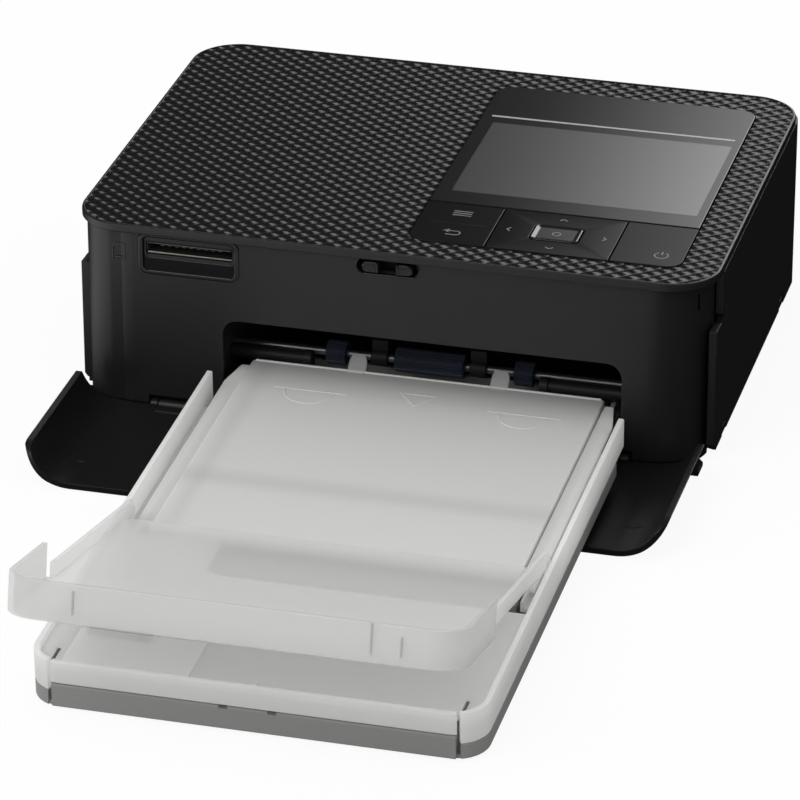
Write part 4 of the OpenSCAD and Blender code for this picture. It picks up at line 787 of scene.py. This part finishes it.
# Cassette, lower part: opaque grey floor with low side strips, inner walls beside the paper and
# the bar across the front end that a hand pulls.
def cassette_base():
    parts, add = maker(in_cassette, tray_grey, "paper_cassette")
    edge = HALF - 0.4
    floor_line = np.vstack([
        [(53.0, 32.9), (-53.0, 32.9), (-53.0, -9.5), (-edge, -9.5)],
        arc(LEFT_CORNER, CORNER - 0.4, 180, 270), arc(RIGHT_CORNER, CORNER - 0.4, 270, 360),
        [(edge, -9.5), (53.0, -9.5)]])
    add("cassette_floor", [floor_line], 0.0, 1.2, 0.3)
    for s, side in SIDES:
        add(f"cassette_strip_{side}", [outer_wall(s, -9.2)], 0.0, 4.35, 0.35)
        wall = (s * 50.95, s * 52.3)
        add(f"cassette_inner_wall_{side}", [rect(*wall, -136, 33)], 0.6, 5.2, 0.25)
        add(f"cassette_lid_seat_{side}", [rect(*wall, -96, 15.4)], 4.0, 7.6, 0.25)
        add(f"cassette_hinge_post_{side}", [rect(*wall, -86.7, -82.3)], 6.0, 10.3, 0.3)
    add("cassette_rear_lip", [rect(-52.9, 52.9, 31.6, 33.0)], 0.4, 3.4, 0.3)
    add("cassette_front_bar", [rect(-52.7, 52.7, END, END + 3.0)], 0.0, 6.7, 0.55, steps=3)
    add("cassette_bar_upstand", [rect(-52.0, 52.0, END + 2.2, END + 3.4)], 6.0, 9.4, 0.2)
    # Two nicks in the bar's top as dark patches: painted shade
    for k, x in enumerate((-7.6, 5.2)):
        nick = rect(x - 1.1, x + 1.1, END - 0.02, END + 1.2)
        add(f"cassette_bar_nick_{k}", [nick], 6.1, 6.74, 0.02, mat=painted_slot_shade)
    hand_in("cassette_base")


cassette_base()


# Lid over the paper: a thin frosted plate, hinged at its front on a rolled edge, with two tabs at
# the rear. Two half-moon finger marks and an arrow are moulded in.
# Painted shadows on the lid: darker towards its rear edge under the printer, a soft dark band
# across it and a dark line along it on the left, where shade from the body and parts beneath
# falls.
LID_PAINTED_SHADOWS = (("Y", 0.042, 0.026, 0.5), ("Y", -0.0315, 0.007, 0.9), ("X", -0.0365, 0.004, 0.93))
frost_lid = frosted("frosted_lid", (0.88, 0.88, 0.87), 0.16, 0.4, painted_shades=LID_PAINTED_SHADOWS)
frost_tab = frosted("frosted_tab", (0.75, 0.75, 0.75), 0.65, 0.3)


def lid_tab(name, x, rear):
    """Tab that bends up behind the lid's rear edge and narrows at its tip."""
    rows = []
    for t in np.linspace(0, 1, 7):
        y, z = rear - 1.6 + 4.4 * t, 9.4 + 3.5 * t ** 1.4
        width = 5.2 - 1.2 * max((y - rear - 1.6) / 1.2, 0) ** 2
        section = rounded(width, 1.3, 0.5, (x, z), steps=4)
        rows.append(np.column_stack([section[:, 0], np.full(len(section), y), section[:, 1]]))
    verts, faces = loft(rows)
    return mesh_object(name, metres(in_cassette(verts)), faces, frost_tab, "paper_lid")


def inner_lid():
    # Half width, rear edge and its cut corners, hinge line, and heights of the moulded marks
    half, rear, cut = 50.6, 15.4, 0.9
    hinge, hinge_z = -84.5, 8.9
    mark_z = (9.9, 10.18)
    parts, add = maker(in_cassette, frost_lid, "paper_lid")
    line = [(-half, hinge + 0.6), (half, hinge + 0.6), (half, rear - cut), (half - cut, rear),
            (-half + cut, rear), (-half, rear - cut)]
    add("paper_lid_plate", [line], 8.8, 10.0, 0.3)
    edge = rect(-half + cut, half - cut, rear - 1.0, rear - 0.2)
    # The rear edge gets the brighter copy of the plastic: painted light
    add("paper_lid_rear_edge", [edge], 9.6, 10.3, 0.25, mat=frost_lit)
    parts.append(rod("paper_lid_roll", (-half, half), hinge, hinge_z, 1.1, 0.3,
                     in_cassette, frost_lid, "paper_lid"))
    for s, side in SIDES:
        parts.append(rod(f"paper_lid_pin_{side}", (s * (half - 1.1), s * (half + 1.7)), hinge,
                         hinge_z, 0.8, 0.15, in_cassette, frost_lid, "paper_lid"))
        skirt = rect(s * (half - 1), s * half, hinge + 4, rear)
        add(f"paper_lid_skirt_{side}", [skirt], 8.1, 9.2, 0.2)
        parts.append(lid_tab(f"paper_lid_tab_{side}", s * 20.5, rear))
    for side, x in (("left", -30.0), ("right", 31.2)):
        moon = band(arc((x, 0.4), 6.8, 180, 360, 17), -0.5)
        add(f"paper_lid_mark_{side}", [moon], *mark_z, 0.12)
        add(f"paper_lid_mark_bar_{side}", [rect(x - 10.5, x + 10.5, 0.6, 1.1)], *mark_z, 0.12)
    arrow = [(-5.8, 6.0), (6.4, 6.0), (0.3, -1.6)]
    hole = [(0.3, -0.5), (4.9, 5.3), (-4.3, 5.3)]
    add("paper_lid_arrow", [arrow, hole], *mark_z, 0.1)
    hand_in("inner_lid")


inner_lid()


# Front face, left flank: the squarer turn of the moulding from the front into the side, up to
# the raised side panel.
BODY_CORNER = (73.6, -49.5)


def in_place(points):
    """For mouldings drawn in printer millimetres."""
    return points


def front_flank():
    """Plan |x/16|^3 + |y/15|^3 = 1 round the corner's centre, from the front to y -57.1."""
    cx, cy = -BODY_CORNER[0], BODY_CORNER[1]
    y = 15.03 - 7.38 * np.linspace(0.125, 1.0, 22) ** 1.5
    x = 16 * np.cbrt(1 - (y / 15) ** 3)
    outline = np.vstack([[(-72.6, -64.0)], np.column_stack([cx - x, cy - y]),
                         arc((cx, cy), 14.2, 212, 268, 8)])
    flank = moulding("front_face_left_flank", [outline], 1.98, 54.5, 0.12, in_place, satin,
                     "printer")


front_flank()


# Card slot in the front face: a glossy rounded frame with a sloped lower lip, and behind its
# mouth the metal guide of the card socket with its black contact block.
FACE_Y = -64.5
CARD = (-57.2, 48.5)
gloss = material("gloss_black", (0.008, 0.008, 0.008), 0.14, edge=0.0002)
# Near-black, darker than any of the plastics, deep inside the card slot and on the catch recess's
# floor: painted shade
painted_recess_shade = material("painted_recess_shade", (0.003, 0.003, 0.003), 0.6)
guide_metal = material("guide_metal", (0.30, 0.29, 0.26), 0.4, metallic=1.0)
face_mark = material("face_mark", (0.045, 0.045, 0.044), 0.45)


def on_front(p):
    """Local points (x, height, distance out of the front face) in printer millimetres."""
    return np.column_stack([p[:, 0], FACE_Y - p[:, 2], p[:, 1]])


def card_slot():
    cx = CARD[0]
    parts, add = maker(on_front, gloss, "printer")
    outlines = [rounded(29.2, 12.6, 2.6, CARD, steps=8), rounded(26.4, 9.9, 1.7, CARD, steps=8)]
    add("card_slot_frame", outlines, -0.7, 0.35, 0.42, steps=4)
    section = np.array([(-0.1, 43.4), (0.25, 44.6), (0.9, 46.7), (0.95, 47.15),
                        (1.6, 47.15), (1.2, 43.2), (0.3, 43.0)]) + (FACE_Y, 0)
    x0, x1 = cx - 13.3, cx + 13.3
    verts, faces = loft([np.column_stack([np.full(len(section), x), section])
                         for x in (x0, x0 + 0.01, x1 - 0.01, x1)])
    parts.append(mesh_object("card_slot_ramp", metres(verts), faces, gloss, "printer", smooth=25))
    outlines = [rounded(26.6, 6.6, 1.4, (cx, 49.9), steps=6),
                rounded(25.0, 4.6, 0.7, (cx, 49.4), steps=6)]
    add("card_slot_mouth", outlines, -1.5, -0.75, 0.15)
    # Far inside the slot a near-black plate, and under the guide a near-black sill: painted shade
    for name, size, r, at, depth, fillet, mat in (
            ("card_slot_depth", (26.0, 5.0), 0.5, (cx, 49.8), (-6.0, -5.6), 0.05, painted_recess_shade),
            ("card_guide_strip", (24.6, 0.5), 0.15, (cx, 48.4), (-3.4, -1.3), 0.12, guide_metal),
            ("card_guide_sill", (24.8, 0.5), 0.15, (cx, 47.45), (-2.6, -1.15), 0.08, painted_recess_shade),
            ("card_contact_block", (20.5, 1.1), 0.2, (cx + 1.2, 50.9), (-4.6, -2.2), 0.1, gloss)):
        add(name, [rounded(*size, r, at, steps=3)], *depth, fillet, mat=mat)
    for k in range(9):
        tongue = rounded(0.9, 0.7, 0.15, (cx - 8.4 + 2.1 * k, 50.2), steps=3)
        add(f"card_contact_{k}", [tongue], -4.2, -2.9, 0.08, mat=guide_metal)
    # Engraved outline of a card beside the slot, with one cut corner
    card = [(-79.4, 45.6), (-75.7, 45.6), (-75.7, 50.6),
            (-78.4, 50.6), (-79.4, 49.6), (-79.4, 45.6)]
    bar = rect(-78.7, -76.4, 46.3, 46.55)
    for name, outline in (("card_sign", band(card, 0.22)), ("card_sign_bar", bar)):
        add(name, [outline], -0.03, 0.05, 0.02, mat=face_mark)
    hand_in()


card_slot()


# Catches of the front door: two glossy sliding knobs with rounded noses in a stadium recess.
def door_catches():
    recess, knob_z = (0, 52.2), 52.05
    outlines = [rounded(18.6, 5.7, 2.8, recess), rounded(17.4, 4.5, 2.2, recess)]
    lip = moulding("catch_recess_lip", outlines, -0.7, 0.22, 0.3, on_front, gloss, "printer",
                   steps=3)
    # The recess's floor is near-black: painted shade
    outline = rounded(17.2, 4.4, 2.1, recess, steps=8)
    back = moulding("catch_recess_floor", [outline], -5.0, -4.6, 0.05, on_front, painted_recess_shade,
                    "printer")
    for s, side in SIDES:
        parts, add = maker(on_front, gloss, f"{side}_latch")
        radii = [1.5, 1.5, 0.5, 0.5] if s > 0 else [0.5, 0.5, 1.5, 1.5]
        knob = rounded(4.9, 3.3, radii, (s * 4.85, knob_z), steps=6)
        add(f"{side}_catch_knob", [knob], -3.6, 0.7, 0.55, steps=3)
        rib = rounded(0.7, 3.0, 0.3, (s * 2.9, knob_z), steps=4)
        add(f"{side}_catch_rib", [rib], 0.4, 1.0, 0.2)
        hand_in(f"{side}_latch_knob")


door_catches()


# Pick-up rollers: dark blue rubber with fine ribs along them, pushed on the steel shaft.
ribbed_rubber = material("ribbed_rubber", (0.016, 0.021, 0.042), 0.5, grain=0.2)


def pickup_rollers():
    y0, z0 = -45.0, 14.6
    radius, ribs, rib_height = 3.36, 28, 0.14
    t = np.linspace(0, 2 * np.pi, ribs * 8, endpoint=False)
    wave = rib_height * np.clip(np.cos(ribs * t) * 1.6, -1, 1)
    for k, (x0, x1) in enumerate(((-22.6, -16.8), (-2.7, 17.3), (31.8, 37.4))):
        loops = []
        for x, g in ((x0, 1.2), (x0, 0.3), (x0 + 0.25, 0.0),
                     (x1 - 0.25, 0.0), (x1, 0.3), (x1, 1.2)):
            r = radius - g + wave * (g < 0.5)
            loops.append(np.column_stack([np.full(len(t), x), y0 + r * np.cos(t),
                                          z0 + r * np.sin(t)]))
        verts, faces = loft(loops)
        roller = mesh_object(f"ribbed_roller_{k}", metres(verts), faces, ribbed_rubber,
                             "pickup_drive", smooth=40)
        if k == 0:
            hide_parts("pickup_rollers")


pickup_rollers()


# Lower shell: its edge under the front face, low behind the lying door, with a pocket under each
# of the door's two hinge knuckles.
def corner_line(s, r, end, n):
    """n points round the printer's front corner on side s, from the front to end degrees."""
    return arc(BODY_CORNER, r, -90, end, n) * (s, 1)


def lower_edge():
    # 0.4 mm behind the front face and inside its corners
    r = 14.6
    front = BODY_CORNER[1] - r
    parts, add = maker(in_place, shell_black, "printer")
    pan = np.vstack([corner_line(-1, r, -8, 12)[::-1], corner_line(1, r, -8, 12),
                     [(86.4, -44.0), (-86.4, -44.0)]])
    # Thin black sheet just above the floor under the front: the shell's lip, and the floor's
    # shadow under the hinges as painted shadow
    add("lower_shell_pan", [pan], 0.06, 0.26, 0.04)
    add("lower_shell_edge", [rect(-52.0, 52.0, front, -63.0)], 0.2, 1.75, 0.2)
    for s, side in SIDES:
        path = np.vstack([[(s * 70.0, front)], corner_line(s, r, -8, 14)])
        add(f"lower_shell_edge_{side}", [band(path, s * 1.1)], 0.2, 1.75, 0.2)
        pocket = rect(s * 52.5, s * 69.6, -61.6, -60.5)
        add(f"hinge_pocket_{side}", [pocket], 0.2, 4.3, 0.2, mat=inner_black)
    hand_in()


lower_edge()


# Front door, rear edge: the lying door reaches back close to the body between its two hinge
# knuckles, and round the body's corners beside them.
def door_corners():
    front, rear = -66.9, -65.1
    parts, add = maker(in_place, shell_black, "paper_door")
    # The door's left side reaches a little farther out and back than its right side
    for (s, side), outer in zip(SIDES, ((90.2, -57.7), (88.8, -60.5))):
        ends = mirrored(s, [outer, (outer[0], front), (67.4, front), (67.4, rear)])
        wing = np.vstack([corner_line(s, 15.5, -32, 12), ends])
        add(f"front_door_corner_{side}", [wing], 0.32, 1.9, 0.3)
    add("front_door_near_edge", [rect(-54.6, 54.6, front, rear)], 0.32, 1.9, 0.3)
    hand_in()


door_corners()
